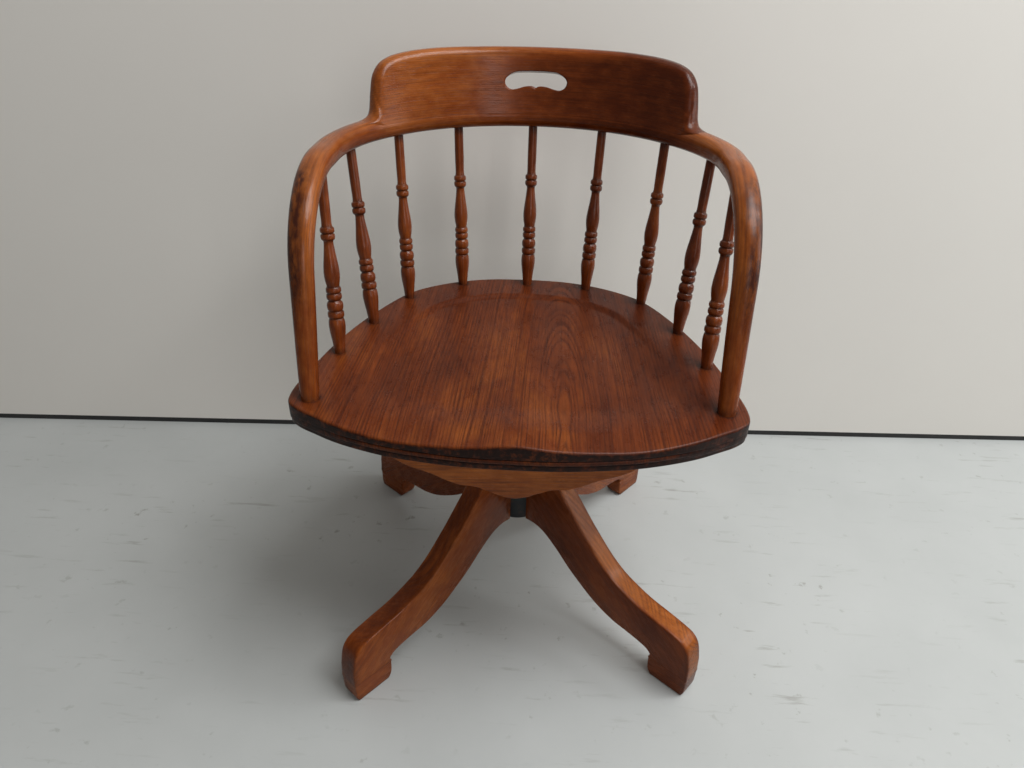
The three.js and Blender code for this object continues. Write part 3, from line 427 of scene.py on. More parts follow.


# The seat's edge from the underside up, as (inset, depth, grime and shade, is moulding)
# The edge is stained and grimed dark, a little darker in the quirks with painted shade, and lighter on the
# worn bead
SEAT_EDGE = [
    (2.7, 30, 1.2, 0), (1.9, 29.8, 1.2, 0), (1.35, 29.2, 1.2, 0), (1.2, 28.4, 1.2, 0), (1.1, 26, 1.25, 0),
    (1.0, 23.4, 1.3, 0), (1.3, 22.4, 1.5, 1), (1.5, 21.8, 1.5, 1), (1.3, 21.3, 1.3, 1), (0.6, 20.8, 0.7, 1),
    (0.1, 20.0, 0.6, 1), (0, 18.6, 0.65, 1), (0, 17.2, 0.65, 1), (0.1, 16.4, 0.6, 1), (0.6, 15.7, 0.7, 1),
    (1.3, 15.2, 1.4, 1), (1.4, 14.8, 1.5, 1), (0.7, 14.3, 1.4, 1), (0.1, 13.7, 1.3, 1), (0, 12.4, 1.3, 0),
    (0, 9.3, 1.3, 0), (0, 6.5, 1.35, 0), (0, 3.9, 1.35, 0)]
# The rings of its top: close together down to the saddle's step, then wider
SEAT_RINGS = [0.985 - 0.0085 * k for k in range(58)]
SEAT_RINGS += [0.48, 0.44, 0.4, 0.35, 0.3, 0.25, 0.2, 0.15, 0.1, 0.05]


def seat_board():
    outline = [seat_place(x, y) for x, y in SEAT_OUTLINE + mirrored(SEAT_OUTLINE)]
    outline = curve(outline, 14, closed=True)
    n = len(outline)
    verts, dark = [], []

    def ring(inward, down, share=1.0):
        # The outline runs clockwise from above, so the inside lies to its right
        for x, y in inset(outline, -np.array(inward)):
            x, y = x * share, y * share
            verts.append((x, y, SEAT_TOP - down - saddle(x, y, share) * smooth(13, SEAT_ROUND, down)))

    for share in (0.25, 0.6, 0.9):
        ring(6, SEAT_THICK, share)
        dark += [0.5] * n
    # The moulding is worn thin at the sides
    worn = [smooth(240, 150, abs(x)) if y < 0 else 0.0 for x, y in outline]
    for inward, down, grime_and_shade, moulded in SEAT_EDGE:
        ring([inward * lerp(0.1, 1, w) if moulded else inward for w in worn], down)
        dark += [lerp(1.35, grime_and_shade, w) for w in worn]
    for k in range(7):
        angle = k / 6 * PI / 2
        ring(SEAT_ROUND * (1 - math.cos(angle)), SEAT_ROUND * (1 - math.sin(angle)))
        dark += [lerp(1.2, 0.1, smooth(0, 4, k))] * n
    # A dark ring at the joint round the feet of the spindles and of the posts, and a wider faint halo of
    # painted shade round them
    feet = [(*seat_place(x, y), 8) for x, y in SPINDLE_FEET]
    feet += [(side * POST_FOOT[0], POST_FOOT[1] + side * BOW_SKEW, 11.5) for side in (-1, 1)]
    for share in SEAT_RINGS:
        ring(0, 0, share)
        for x, y, _ in verts[-n:]:
            near = min(math.hypot(x - fx, y - fy) - r for fx, fy, r in feet)
            dark.append(0.75 * smooth(5.5, 0.0, near) + 0.12 * smooth(24, 4, near))
    verts, faces = skin([verts[i:i + n] for i in range(0, len(verts), n)])
    dark += [0.5, 0.0]
    grain = [(y, x, z - SEAT_TOP) for x, y, z in verts]
    # Worn light in front, darker stain to the right and behind the step
    tone = []
    for x, y, z in verts:
        rubbed = 0.3 * math.exp(-((x + 55) / 34) ** 2 - ((y + 214) / 30) ** 2)
        tone.append(rubbed - 0.14 * smooth(60, 220, x) - 0.1 * smooth(60, 150, y))
    piece("seat_board_shaped", verts, faces, "seat", SEAT_WOOD, "seat_board", grain, dark, tone)


# The arm bow

BOW_BACK, BOW_RADIUS, BOW_ANGLE, BOW_HALF = 264.0, 285.0, math.radians(52), 261.0
ARM_Z, BOW_RISE, BEND_RADIUS, LEAN = 687.5, 7.5, 135.0, math.radians(14)
HALF_WIDE, HALF_DEEP, POST_HALF, POST_SUNK = 17.5, 14.5, 11.4, 0.8
# The power of the section's superellipse, and of the posts' swelling
BOW_POWER, SWELLING = 2.5, 0.7
SIDE_RADIUS = (BOW_HALF - BOW_RADIUS * math.sin(BOW_ANGLE)) / (1 - math.sin(BOW_ANGLE))
BACK_CENTRE = BOW_BACK - BOW_RADIUS
SIDE_X = (BOW_RADIUS - SIDE_RADIUS) * math.sin(BOW_ANGLE)
SIDE_Y = BACK_CENTRE + (BOW_RADIUS - SIDE_RADIUS) * math.cos(BOW_ANGLE)
BEND_Z = ARM_Z - BEND_RADIUS * (1 - math.sin(LEAN))
BEND_Y = POST_FOOT[1] + (BEND_Z - SEAT_TOP) * math.tan(LEAN)
BEND_END_Y = BEND_Y + BEND_RADIUS * math.cos(LEAN)
BACK_ARC = BOW_RADIUS * BOW_ANGLE
SIDE_ARC = SIDE_RADIUS * (PI / 2 - BOW_ANGLE)
PLAN_HALF = BACK_ARC + SIDE_ARC + SIDE_Y - BEND_END_Y
BEND_ARC = BEND_RADIUS * (PI / 2 - LEAN)
POST_LONG = (BEND_Z - SEAT_TOP) / math.cos(LEAN)
BOW_LONG = PLAN_HALF + BEND_ARC + POST_LONG
CREST_HALF, FLAT_HIGH, FLAT_RUNOUT, FLAT_DROP = 270.0, 6.5, 26.0, 2.4


def bow_centre(distance):
    side = -1 if distance < 0 else 1
    run = abs(distance)
    skew = side * BOW_SKEW * smooth(BACK_ARC, BACK_ARC + SIDE_ARC, run)
    if run < PLAN_HALF:
        x, y = BOW_HALF, SIDE_Y - (run - BACK_ARC - SIDE_ARC)
        if run < BACK_ARC:
            angle = run / BOW_RADIUS
            x, y = BOW_RADIUS * math.sin(angle), BACK_CENTRE + BOW_RADIUS * math.cos(angle)
        elif run < BACK_ARC + SIDE_ARC:
            angle = BOW_ANGLE + (run - BACK_ARC) / SIDE_RADIUS
            x, y = SIDE_X + SIDE_RADIUS * math.sin(angle), SIDE_Y + SIDE_RADIUS * math.cos(angle)
        return Vector((side * x, y + skew, ARM_Z + BOW_RISE * smooth(BEND_END_Y, BOW_BACK, y)))
    if run < PLAN_HALF + BEND_ARC:
        slope = PI / 2 - (run - PLAN_HALF) / BEND_RADIUS
        y, z = BEND_END_Y - BEND_RADIUS * math.cos(slope), ARM_Z - BEND_RADIUS * (1 - math.sin(slope))
    else:
        down = run - PLAN_HALF - BEND_ARC
        y, z = BEND_Y - down * math.sin(LEAN), BEND_Z - down * math.cos(LEAN)
    inward = (BOW_HALF - POST_FOOT[0]) * (ARM_Z - z) / (ARM_Z - SEAT_TOP)
    return Vector((side * (BOW_HALF - inward), y + skew, z))


def bow_axes(distance):
    run = abs(distance)
    if run <= PLAN_HALF:
        along = (bow_centre(distance + 1.4) - bow_centre(distance - 1.4)).normalized()
        return Vector((-along.y, along.x, 0)).normalized(), Vector((0, 0, 1))
    turn = min((run - PLAN_HALF) / BEND_ARC, 1) * PI / 2
    return Vector((math.copysign(1, distance), 0, 0)), Vector((0, -math.sin(turn), math.cos(turn)))


def at_bow(distance, across, up):
    a, u = bow_axes(distance)
    return bow_centre(distance) + a * across + u * up


def crest_flat(distance):
    """The height of the bow's planed top, which runs out under the crest's ends."""
    lift = max(abs(distance) - (CREST_HALF - FLAT_RUNOUT), 0) / FLAT_RUNOUT
    return FLAT_HIGH + (HALF_DEEP - FLAT_DROP - FLAT_HIGH) * lift


def crest_painted_light(distance):
    """Painted light and shade: the back is lighter at its left, which faces the window at the right, and
    darker to the right, which turns away from it.
    """
    return lerp(0.2, -0.36, smooth(-200, 130, distance))


def arm_bow():
    sides, steps = 36, 420
    verts, grain, dark, tone = [], [], [], []
    for i in range(steps + 1):
        distance = (i / steps * 2 - 1) * (BOW_LONG + POST_SUNK)
        run = abs(distance)
        swell = min(max((BOW_LONG - run) / (BEND_ARC + POST_LONG), 0), 1) ** SWELLING
        wide, deep = lerp(POST_HALF, HALF_WIDE, swell), lerp(POST_HALF, HALF_DEEP, swell)
        power = lerp(BOW_POWER, 2, min(max(run - PLAN_HALF, 0) / BEND_ARC, 1))
        for k in range(sides):
            angle = (k + 0.5) / sides * 2 * PI
            c, s = math.cos(angle), math.sin(angle)
            a = wide * math.copysign(abs(c) ** (2 / power), c)
            u = deep * math.copysign(abs(s) ** (2 / power), s)
            if run < CREST_HALF:
                u = min(u, crest_flat(distance))
            verts.append(tuple(at_bow(distance, a, u)))
            grain.append((distance, a, u))
            # Hands have darkened the front bends, and worn the bow's shoulders light; along the back the bow
            # takes the crest's painted light and shade
            front = smooth(430, 475, run) * smooth(690, 560, run)
            foot = smooth(14, 2, BOW_LONG - run)
            dark.append(1.1 * front * smooth(-0.9, 0.3, c) + 0.7 * foot)
            worn = 0.24 * smooth(-0.3, 0.9, s) + 0.05 * (1 - c) * front
            tone.append(lerp(crest_painted_light(distance), worn - 0.2 * smooth(500, 640, run), smooth(215, 300, run)))
    verts, faces = skin([verts[i:i + sides] for i in range(0, len(verts), sides)])
    grain += [(-BOW_LONG, 0, 0), (BOW_LONG, 0, 0)]
    dark += [0.5, 0.5]
    tone += [0.0, 0.0]
    piece("arm_bow_bent", verts, faces, "seat", BOW_WOOD, "arm_bow", grain, dark, tone)


# The crest rail

CREST_TALL, CREST_TOP, CREST_BASE, CREST_LEAN = 95.0, 21.0, 33.0, math.tan(math.radians(10.8))
CREST_PROFILE = [
    (0, 1), (0.28, 1), (0.52, 0.998), (0.7, 0.97), (0.79, 0.925), (0.845, 0.855), (0.89, 0.72),
    (0.92, 0.5), (0.937, 0.34), (0.958, 0.225), (0.985, 0.174), (1.018, 0.152), (1.045, 0.14)]
HOLE = [
    (0, 1), (0.35, 0.99), (0.65, 0.89), (0.88, 0.5), (1, -0.05), (0.95, -0.66),
    (0.79, -1), (0.6, -0.92), (0.42, -0.73), (0.22, -0.62), (0.08, -0.66), (0, -0.8)]
HOLE_HALF, HOLE_TALL, HOLE_UP, HOLE_SIDE = 46.5, 12.4, 49.0, 2.0
# The hole's middle above its own centre line, its rim's rounding, and how far the faces' holes lie off level
HOLE_MIDDLE, HOLE_ROUND, HOLE_SLANT = 2.4, 3.0, 2.5
CREST_ROUND, PATCH_HALF, PATCH = 8.5, 64, 64


def crest_face(distance, up, depth):
    """A point of the crest and its place in the grain: depth runs from -1 on the front face to 1 on the back
    one, at a height above the bow."""
    top = crest_height(distance)
    base = crest_base(distance)
    ratio = min(base / HALF_DEEP, 0.999)
    cap = HALF_WIDE * (1 - ratio ** BOW_POWER) ** (1 / BOW_POWER)
    tall = smooth(HALF_DEEP, CREST_TALL / 2, top)
    base_half = lerp(cap, CREST_BASE / 2, tall)
    top_half = lerp(base_half * 0.94, CREST_TOP / 2, tall)
    t = min(max((up - base) / max(top - base, 1e-6), 0), 1)
    half = lerp(base_half, top_half, t)
    middle = top * CREST_LEAN * tall * t
    return at_bow(distance, middle + depth * half, up), (distance, up, middle + depth * half)


def crest_half(distance, up):
    """Half the crest's thickness there."""
    return (crest_face(distance, up, 1)[0] - crest_face(distance, up, -1)[0]).length / 2


CREST_LINE = curve([(s * CREST_HALF, h * CREST_TALL) for s, h in CREST_PROFILE], 12)
CREST_SPAN = list(zip(*CREST_LINE))


def crest_height(distance):
    return float(np.interp(abs(distance), *CREST_SPAN))


def crest_base(distance):
    """The ends run out to nothing just under the bow's surface."""
    return min(crest_flat(distance), crest_height(distance) - 0.3)


def crest_rail():
    # Columns as (place along the bow, height), in even steps where the patch round the hand hole lies
    right = [(x, z) for x, z in CREST_LINE if x > PATCH_HALF + 0.5]
    line = [(-x, z) for x, z in reversed(right)]
    first, last = len(line), len(line) + PATCH
    line += [(PATCH_HALF * (2 * k / PATCH - 1), CREST_TALL) for k in range(PATCH + 1)] + right
    steps, rows = 7, 26
    verts, grain, faces = [], [], []

    def add(distance, up, depth):
        point, place = crest_face(distance, up, depth)
        verts.append(tuple(point))
        grain.append(place)
        return len(verts) - 1

    def bridge(a, b, closed=False):
        a, b = a + a[:closed], b + b[:closed]
        faces.extend(zip(a, a[1:], b[1:], b))

    rim = []
    for (x, z), before, after in zip(line, line[:1] + line, line[1:] + line[-1:]):
        dx, dz = after[0] - before[0], after[1] - before[1]
        rise = z - crest_base(x)
        half = crest_half(x, z)
        r = min(CREST_ROUND, 0.9 * rise)
        wide = lerp(half, min(CREST_ROUND, half), smooth(2, 40, rise))
        strip = []
        for k in range(2 * steps + 1):
            side = -1 if k <= steps else 1
            angle = min(k, 2 * steps - k) / steps * PI / 2
            drop = r * (1 - math.sin(angle)) / math.hypot(dx, dz)
            depth = side * (half - wide + wide * math.cos(angle)) / half
            strip.append(add(x + dz * drop, z - dx * drop, depth))
        rim.append(strip)
    for a, b in zip(rim, rim[1:]):
        bridge(a, b)

    hole = [(x * HOLE_HALF, y * HOLE_TALL) for x, y in HOLE + mirrored(HOLE)]
    hole = curve(hole, 10, closed=True)
    angles = [math.atan2(y - HOLE_MIDDLE, x) for x, y in hole]

    def hole_point(angle, grow, sink):
        x, y = (np.interp(angle, angles, [p[k] for p in hole], period=2 * PI) for k in (0, 1))
        d = math.hypot(x, y)
        return HOLE_SIDE + x * (1 + grow / d), HOLE_UP + y * (1 + grow / d) - sink

    # The two faces, in columns from the base up to the rounding
    sheets, walls = [], []
    for side in (-1, 1):
        sheet = []
        for i, strip in enumerate(rim):
            edge = strip[0 if side < 0 else -1]
            x, up, _ = grain[edge]
            base = crest_base(x) + 0.02
            # The columns inside the hole's patch have only their two ends
            used = 1 if first < i < last else rows
            sheet.append([add(x, lerp(base, up, j / rows), side) for j in range(used)] + [edge])
            if 0 < i <= first or i > last:
                bridge(*sheet[-2:])
        sheets.append(sheet)
        # The patch round the hand hole, which goes through square to the leaning face
        loop = [column[0] for column in sheet[first:last]] + sheet[last][:-1]
        loop += [column[-1] for column in sheet[last:first:-1]] + sheet[first][:0:-1]
        sink = HOLE_SLANT * side
        middle = HOLE_UP + HOLE_MIDDLE - sink
        outer = [grain[v][:2] for v in loop]
        wall = loop
        for k in range(1, 14):
            share, bend = min(k / 8, 1) ** 0.8, max(k - 8, 0) / 5 * PI / 2
            ring = []
            for x, up in outer:
                angle = math.atan2(up - middle, x - HOLE_SIDE)
                hx, hy = hole_point(angle, HOLE_ROUND * (1 - math.sin(bend)), sink)
                sunk = HOLE_ROUND * (1 - math.cos(bend)) / crest_half(hx, hy)
                ring.append(add(lerp(x, hx, share), lerp(up, hy, share), side * (1 - sunk)))
            bridge(wall, ring, closed=True)
            wall = ring
        walls.append(wall)
    bridge(*walls, closed=True)
    # The base and the two feather ends
    bridge(*([column[0] for column in sheet] for sheet in sheets))
    for i in (0, -1):
        faces.append(tuple(sheets[0][i] + rim[i][1:-1] + sheets[1][i][::-1]))
    dark, tone = [], []
    for distance, up, _ in grain:
        # Darker towards the crest's foot on the bow, and in a band round the hand hole
        darker = 0.2 * smooth(26, 8, up) * smooth(250, 200, abs(distance))
        darker += 0.12 * smooth(22, 3, abs(math.hypot(distance, (up - HOLE_UP) * 2.2) - 46))
        dark.append(darker)
        # The crest's painted light and shade, and a lighter strip along its top at the left, which is partly
        # wear and partly a painted highlight from the light above
        tone.append(crest_painted_light(distance) + 0.35 * smooth(76, 92, up) * smooth(160, 60, distance))
    grain = [(distance, depth, up) for distance, up, depth in grain]
    piece("crest_rail_shaped", verts, faces, "seat", BOW_WOOD, "crest_rail", grain, dark, tone)


# The back spindles

TURNING = [
    (0, 0.64), (0.06, 0.78), (0.12, 0.96), (0.155, 1), (0.182, 0.92), (0.19, 0.84), (0.1935, 0.9),
    (0.198, 0.96), (0.21, 0.99), (0.222, 0.96), (0.2265, 0.9), (0.23, 0.82), (0.24, 0.93), (0.257, 0.98),
    (0.274, 0.93), (0.288, 0.72), (0.292, 0.8), (0.298, 0.88), (0.31, 0.92), (0.322, 0.88), (0.328, 0.78),
    (0.334, 0.88), (0.345, 0.92), (0.356, 0.88), (0.361, 0.8), (0.366, 0.76), (0.4, 0.88), (0.435, 0.94),
    (0.48, 0.88), (0.56, 0.66), (0.615, 0.58), (0.6215, 0.7), (0.628, 0.8), (0.64, 0.84), (0.652, 0.8),
    (0.658, 0.67), (0.664, 0.8), (0.6755, 0.84), (0.687, 0.8), (0.692, 0.7), (0.697, 0.62), (0.8, 0.61),
    (1, 0.6)]
GROOVES = [0.19, 0.2285, 0.29, 0.328, 0.363, 0.62, 0.658, 0.694]
SPINDLE_RADIUS, SPINDLE_SIDES, TENON, HEAD_TENON = 11.2, 30, 9, 6
# The turning's shares were read along the photograph, where what lies higher is nearer and so drawn larger
NEARER = 0.08
# The shares are stretched while the curve is drawn, so that its points lie further apart than the radii
STRETCH = 12


def spindles():
    line = curve([(t * STRETCH, r) for t, r in TURNING], 4)
    for index, (fx, fy) in enumerate(seat_place(x, y) for x, y in SPINDLE_FEET):
        run = SPINDLE_HEADS[index] * PLAN_HALF
        _, up = bow_axes(run)
        head = bow_centre(run) - up * HALF_DEEP
        foot = Vector((fx, fy, SEAT_TOP))
        length = (head - foot).length
        turn = Vector((0, 0, 1)).rotation_difference((head - foot).normalized()).to_matrix()
        matrix = Matrix.Translation(foot) @ turn.to_4x4()

        def height(share):
            return (1 + NEARER) * share / (1 + NEARER * share) * length

        profile = [(TURNING[0][1] * SPINDLE_RADIUS, -TENON)]
        profile += [(r * SPINDLE_RADIUS, height(t / STRETCH)) for t, r in line]
        profile += [(TURNING[-1][1] * SPINDLE_RADIUS, length + HEAD_TENON)]
        verts, faces = lathe(profile, SPINDLE_SIDES)
        grooves = [height(share) for share in GROOVES]
        # No two spindles come from the same place in the trunk
        grain = [(z + 431.7 * index, x + 13 * index, y) for x, y, z in verts]
        dark = []
        for x, y, z in verts:
            groove = max(smooth(3.2, 0.4, abs(z - g)) for g in grooves)
            joints = 0.7 * smooth(9, 0, z) + 0.9 * smooth(length - 11, length - 3, z)
            dark.append(min(0.6 * groove + joints, 1))
        verts = [tuple(matrix @ Vector(v)) for v in verts]
        piece(f"spindle_turned_{index + 1}", verts, faces, "seat", TURNED_WOOD, f"back_spindle_{index + 1}",
              grain, dark, crease=60)


# Bearers, legs and shoes

BEARER_EDGE = [
    (0, 1), (0.09, 0.969), (0.2, 0.881), (0.31, 0.8), (0.43, 0.775), (0.55, 0.694),
    (0.68, 0.569), (0.84, 0.456), (0.96, 0.325), (1, 0.26)]
BEARER_HALF, BEARER_TALL, BEARER_THICK = 154, 80, 25
BEARER_PLACES = [("front", -187.0), ("rear", 162.5)]
# The counterbores for the bearers' screws
BEARER_SCREW, BORE, BORE_TOP = 120.12, 6.1, -22.8


def cut(obj, verts, faces):
    """Cuts a body, in millimetres, out of the piece."""
    mesh = closed_mesh("cutter", verts, faces)
    tool = added("cutter", mesh)
    made = obj.modifiers.new("hole", "BOOLEAN")
    made.operation = "DIFFERENCE"
    made.solver = "EXACT"
    made.object = tool
    bpy.context.view_layer.update()
    whole = obj.data
    result = bpy.data.meshes.new_from_object(obj.evaluated_get(bpy.context.evaluated_depsgraph_get()))
    obj.modifiers.remove(made)
    obj.data = result
    bpy.data.meshes.remove(whole)
    bpy.data.objects.remove(tool)
    bpy.data.meshes.remove(mesh)


def bearers():
    half = [(x * BEARER_HALF, -d * BEARER_TALL) for x, d in BEARER_EDGE]
    lower = curve([(-x, z) for x, z in reversed(half)] + half[1:], 6, plain=True)
    outline = [(-BEARER_HALF, -0.05)] + lower + [(BEARER_HALF, -0.05)]
    cuts = [(2, -14), (2, -7), (0, -147), (0, -140), (0, 140), (0, 147)]
    for name, y in BEARER_PLACES:
        verts, faces = sliced(*board(outline, BEARER_THICK, 1.6), cuts)
        grain = [(x, z + (90 if name == "rear" else 0), depth) for x, depth, z in verts]
        # Painted shade along the bearer's top, under the seat's overhang, and darker towards its ends
        dark = [0.2 * smooth(-14, 0, z) + 0.2 * smooth(140, BEARER_HALF, abs(x)) for x, _, z in verts]
        tone = [0.2] * len(verts)
        verts = [(x, depth + y, z + SEAT_BOTTOM) for x, depth, z in verts]
        obj = piece(f"bearer_{name}_scalloped", verts, faces, "seat", LEG_WOOD, f"bearer_{name}",
                    grain, dark, tone, crease=30)
        hole, shape = lathe([(BORE, -BEARER_TALL - 4), (BORE, BORE_TOP)], 20)
        for x in (-BEARER_SCREW, BEARER_SCREW):
            cut(obj, [(a + x, b + y, c + SEAT_BOTTOM) for a, b, c in hole], shape)


BASE_TURN = math.radians(4.8)
TOE, LEG_TOP, LEG_THICK, SHOE, HEEL = 344.4, 283.0, 31.0, 34.0, 280.0
GLUE_LINE, LEG_ARRIS, LEG_ROOT, BARREL = 0.15, 2.4, 33, 36.3
SOLE_HEEL, SOLE_TOE = 287, 340
LEG_UPPER = [
    (0.225, 0.955), (0.29, 0.824), (0.345, 0.746), (0.414, 0.654), (0.497, 0.555),
    (0.552, 0.5), (0.607, 0.459), (0.677, 0.426), (0.745, 0.402), (0.828, 0.386), (0.91, 0.368),
    (0.955, 0.348), (0.983, 0.302), (0.998, 0.21)]
LEG_LOWER = [
    (0.815, 0.142), (0.785, 0.166), (0.71, 0.182), (0.615, 0.195), (0.525, 0.231), (0.447, 0.283),
    (0.36, 0.354), (0.276, 0.438), (0.2, 0.498), (0.145, 0.515)]
LEG_NAMES = ["rear_right", "rear_left", "front_left", "front_right"]
# The painted light and shade on each leg's edge faces and on its broad ones: lighter where a face turns to
# the window at the right, darker where it turns away
LEG_PAINTED_LIGHT = [(0.1, 0.1), (0, 0), (-0.16, 0.08), (0.36, -0.14)]


def legs():
    upper = [(r * TOE, z * LEG_TOP) for r, z in LEG_UPPER]
    lower = [(r * TOE, z * LEG_TOP) for r, z in LEG_LOWER]
    over, under = SHOE + GLUE_LINE, SHOE - GLUE_LINE
    outline = [(LEG_ROOT, LEG_TOP)]
    outline += curve([(0.19 * TOE, LEG_TOP)] + upper, 5, plain=True)
    outline += [(TOE, SHOE + 12), (TOE, over), (HEEL + 20, over)]
    outline += curve([(HEEL, over)] + lower, 5, plain=True)
    outline += [(LEG_ROOT, 0.515 * LEG_TOP)]
    shoe = [(lerp(SOLE_HEEL, SOLE_TOE, k / 8), 0) for k in range(9)]
    shoe += curve([(SOLE_TOE, 0), (342.8, 6), (343.9, 17), (TOE, under)], 4, plain=True)[1:]
    shoe += [(HEEL + 20, under), (HEEL, under)]
    shoe += curve([(HEEL, under), (280.4, 17), (282, 8), (SOLE_HEEL, 0)], 4, plain=True)[1:-1]
    # The grain runs along the leg, and each leg and shoe comes from another place in the trunk
    slant = math.radians(-38)
    c, s = math.cos(slant), math.sin(slant)
    half = LEG_THICK / 2
    for i, name in enumerate(LEG_NAMES):
        angle = (i + 0.5) / 4 * 2 * PI + BASE_TURN
        verts, faces = board(outline, LEG_THICK, LEG_ARRIS, layers=6, sharp=lambda r, z: z < over + 0.05)
        cuts = [(2, 41), (2, 48), (0, 40), (0, 48), (0, 60), (0, 330), (0, 337)]
        verts, faces = sliced(verts, faces, cuts)
        # The root is hollowed to the hub's barrel
        verts = [(r if r >= BARREL + 0.2 else math.sqrt(BARREL ** 2 - min(abs(y), half) ** 2), y, z)
                 for r, y, z in verts]
        grain = [(r * c + z * s + 700 * i, -r * s + z * c + 41 * i, y) for r, y, z in verts]
        dark = [0.12 * smooth(48, 34, z) + 0.3 * smooth(60, 36, r) + 0.5 * smooth(330, 344, r)
                for r, y, z in verts]
        tone = [lerp(*LEG_PAINTED_LIGHT[i], smooth(11, 15.4, abs(y))) for r, y, z in verts]
        piece(f"leg_{name}_shaped", verts, faces, "base", LEG_WOOD, f"leg_{name}",
              grain, dark, tone, angle, crease=30)
        verts, faces = board(shoe, LEG_THICK, LEG_ARRIS, sharp=lambda r, z: z > under - 0.05)
        verts, faces = sliced(verts, faces, [(2, 3), (2, 6), (2, 9), (0, 330), (0, 337)])
        grain = [(r + 300 * i, z + 23 * i + 400, y) for r, y, z in verts]
        dark = [0.65 * smooth(9, 0, z) + 0.3 * smooth(330, 344, r) for r, y, z in verts]
        tone = [LEG_PAINTED_LIGHT[i][1]] * len(verts)
        piece(f"foot_shoe_{name}_shaped", verts, faces, "base", LEG_WOOD, f"foot_shoe_{name}",
              grain, dark, tone, angle, crease=30)


# Iron, steel and brass

PLATE_LOW, PLATE, IRON_SCREWS = 400.7, 6, (95, 136)


def slotted(obj, centre, across, width, deep, axis):
    """Cuts a driver's slot along across into a head whose axis points out of it."""
    a = Vector(axis).normalized()
    s = Vector(across).normalized()
    t = a.cross(s)
    corners = []
    for k in (-deep, 4):
        for i, j in ((-20, -width / 2), (20, -width / 2), (20, width / 2), (-20, width / 2)):
            corners.append(tuple(Vector(centre) + a * k + s * i + t * j))
    faces = [(0, 1, 2, 3), (4, 5, 6, 7), (0, 1, 5, 4), (1, 2, 6, 5), (2, 3, 7, 6), (3, 0, 4, 7)]
    cut(obj, corners, faces)


def small_screws():
    """The round-headed wood screws, driven upwards: each as (node, x, y, seat of the head, length)."""
    rows = []
    for arm in range(4):
        angle = (arm + 0.5) / 4 * 2 * PI
        for reach in IRON_SCREWS:
            x, y = reach * math.cos(angle), reach * math.sin(angle)
            rows.append((f"iron_screw_{len(rows) + 1}", x, y, PLATE_LOW - 0.3, 20))
    for i, (_, y) in enumerate(BEARER_PLACES):
        for k, side in enumerate((-1, 1)):
            rows.append((f"bearer_screw_{2 * i + k + 1}", side * BEARER_SCREW, y, 383.7, 38))
    for i, (name, x, y, seat, length) in enumerate(rows):
        high, shank = 3, 2.4
        head = [(0.01, high), (1.89, 2.91), (3.51, 2.46), (4.752, 1.56), (5.4, 0.36), (5.4, 0), (shank, 0)]
        verts, faces = lathe([(r, -z) for r, z in head] + [(shank, length)], 28)
        verts = [(a + x, b + y, c + seat) for a, b, c in verts]
        obj = piece(f"{name}_slotted", verts, faces, "seat", STEEL, name, crease=35)
        turn = 0.7 + 1.9 * i
        slotted(obj, (x, y, seat - high), (math.cos(turn), math.sin(turn), 0), 1.1, 1.4, (0, 0, -1))


def hub():
    profile = [(18.6, 148), (36, 148), (36, 274), (38.5, 280.5), (46, 283.3), (62, 283.3), (62, 289.3),
               (36, 289.3), (32, 292), (32, 300), (18.6, 300)]
    verts, faces = lathe(rounded(profile + profile[:1], 1.5)[:-1], 72, "meet")
    piece("hub_casting_shaped", verts, faces, "base", IRON, "hub_casting", crease=50)


def key_screw():
    profile = [(0.01, 10.3), (2.7, 10.3), (2.7, 19), (4, 19), (4, 36.3), (7, 36.3), (7, 42.2), (6, 43.3),
               (0.01, 43.3)]
    verts, faces = lathe(rounded(profile, 0.6), 28)
    out, height = profile[-1][1], 262
    verts = [(x, z, height - y) for x, y, z in verts]
    obj = piece("key_screw_slotted", verts, faces, "base", STEEL, "key_screw", turn=BASE_TURN, crease=35)
    c, s = math.cos(BASE_TURN), math.sin(BASE_TURN)
    slotted(obj, (-out * s, out * c, height), (0.6 * c, 0.6 * s, 0.8), 1.4, 2, (-s, c, 0))


def washers():
    rows = (("nut_washer", "base", 14.3, 28, 300.3, 302.8, STEEL),
            ("seat_washer", "seat", 10.3, 22, 333.5, 336, BRASS))
    for name, body, inner, outer, low, high, material in rows:
        profile = rounded([(inner, low), (outer, low), (outer, high), (inner, high), (inner, low)], 0.5)[:-1]
        verts, faces = lathe(profile, 64, "meet")
        piece(f"{name}_turned", verts, faces, body, material, name)


def hand_nut():
    count, lobe, bulge, low, high, waist = 144, 41, 4.5, 303.1, 325.1, 3
    lobes = [lobe + bulge * math.cos(6 * 2 * PI * k / count) for k in range(count)]
    # The rim is waisted: it draws in between its two faces
    drops = [waist * (1 - math.sin(k / 4 * PI / 2)) for k in range(5)]
    # Rings as (round radius, height, share of the lobes)
    rows = [(14.3, low, 0), (14.3, high, 0), (22, high, 0), (27, high - 1.2, 0.2)]
    rows += [(0, high - drop, 1 - drop / lobe) for drop in reversed(drops)]
    rows += [(0, low + drop, 1 - drop / lobe) for drop in drops]
    rows += [(27, low + 1.2, 0.2), (22, low, 0)]
    rings = []
    for plain_radius, z, share in rows:
        radii = [lerp(plain_radius, r, share) for r in lobes]
        rings.append([(r * x, r * y, z) for r, (x, y, _) in zip(radii, circle(1, 0, count))])
    verts, faces = skin(rings, "meet")
    piece("hand_nut_cast", verts, faces, "nut", IRON, "hand_nut", turn=BASE_TURN, crease=50)


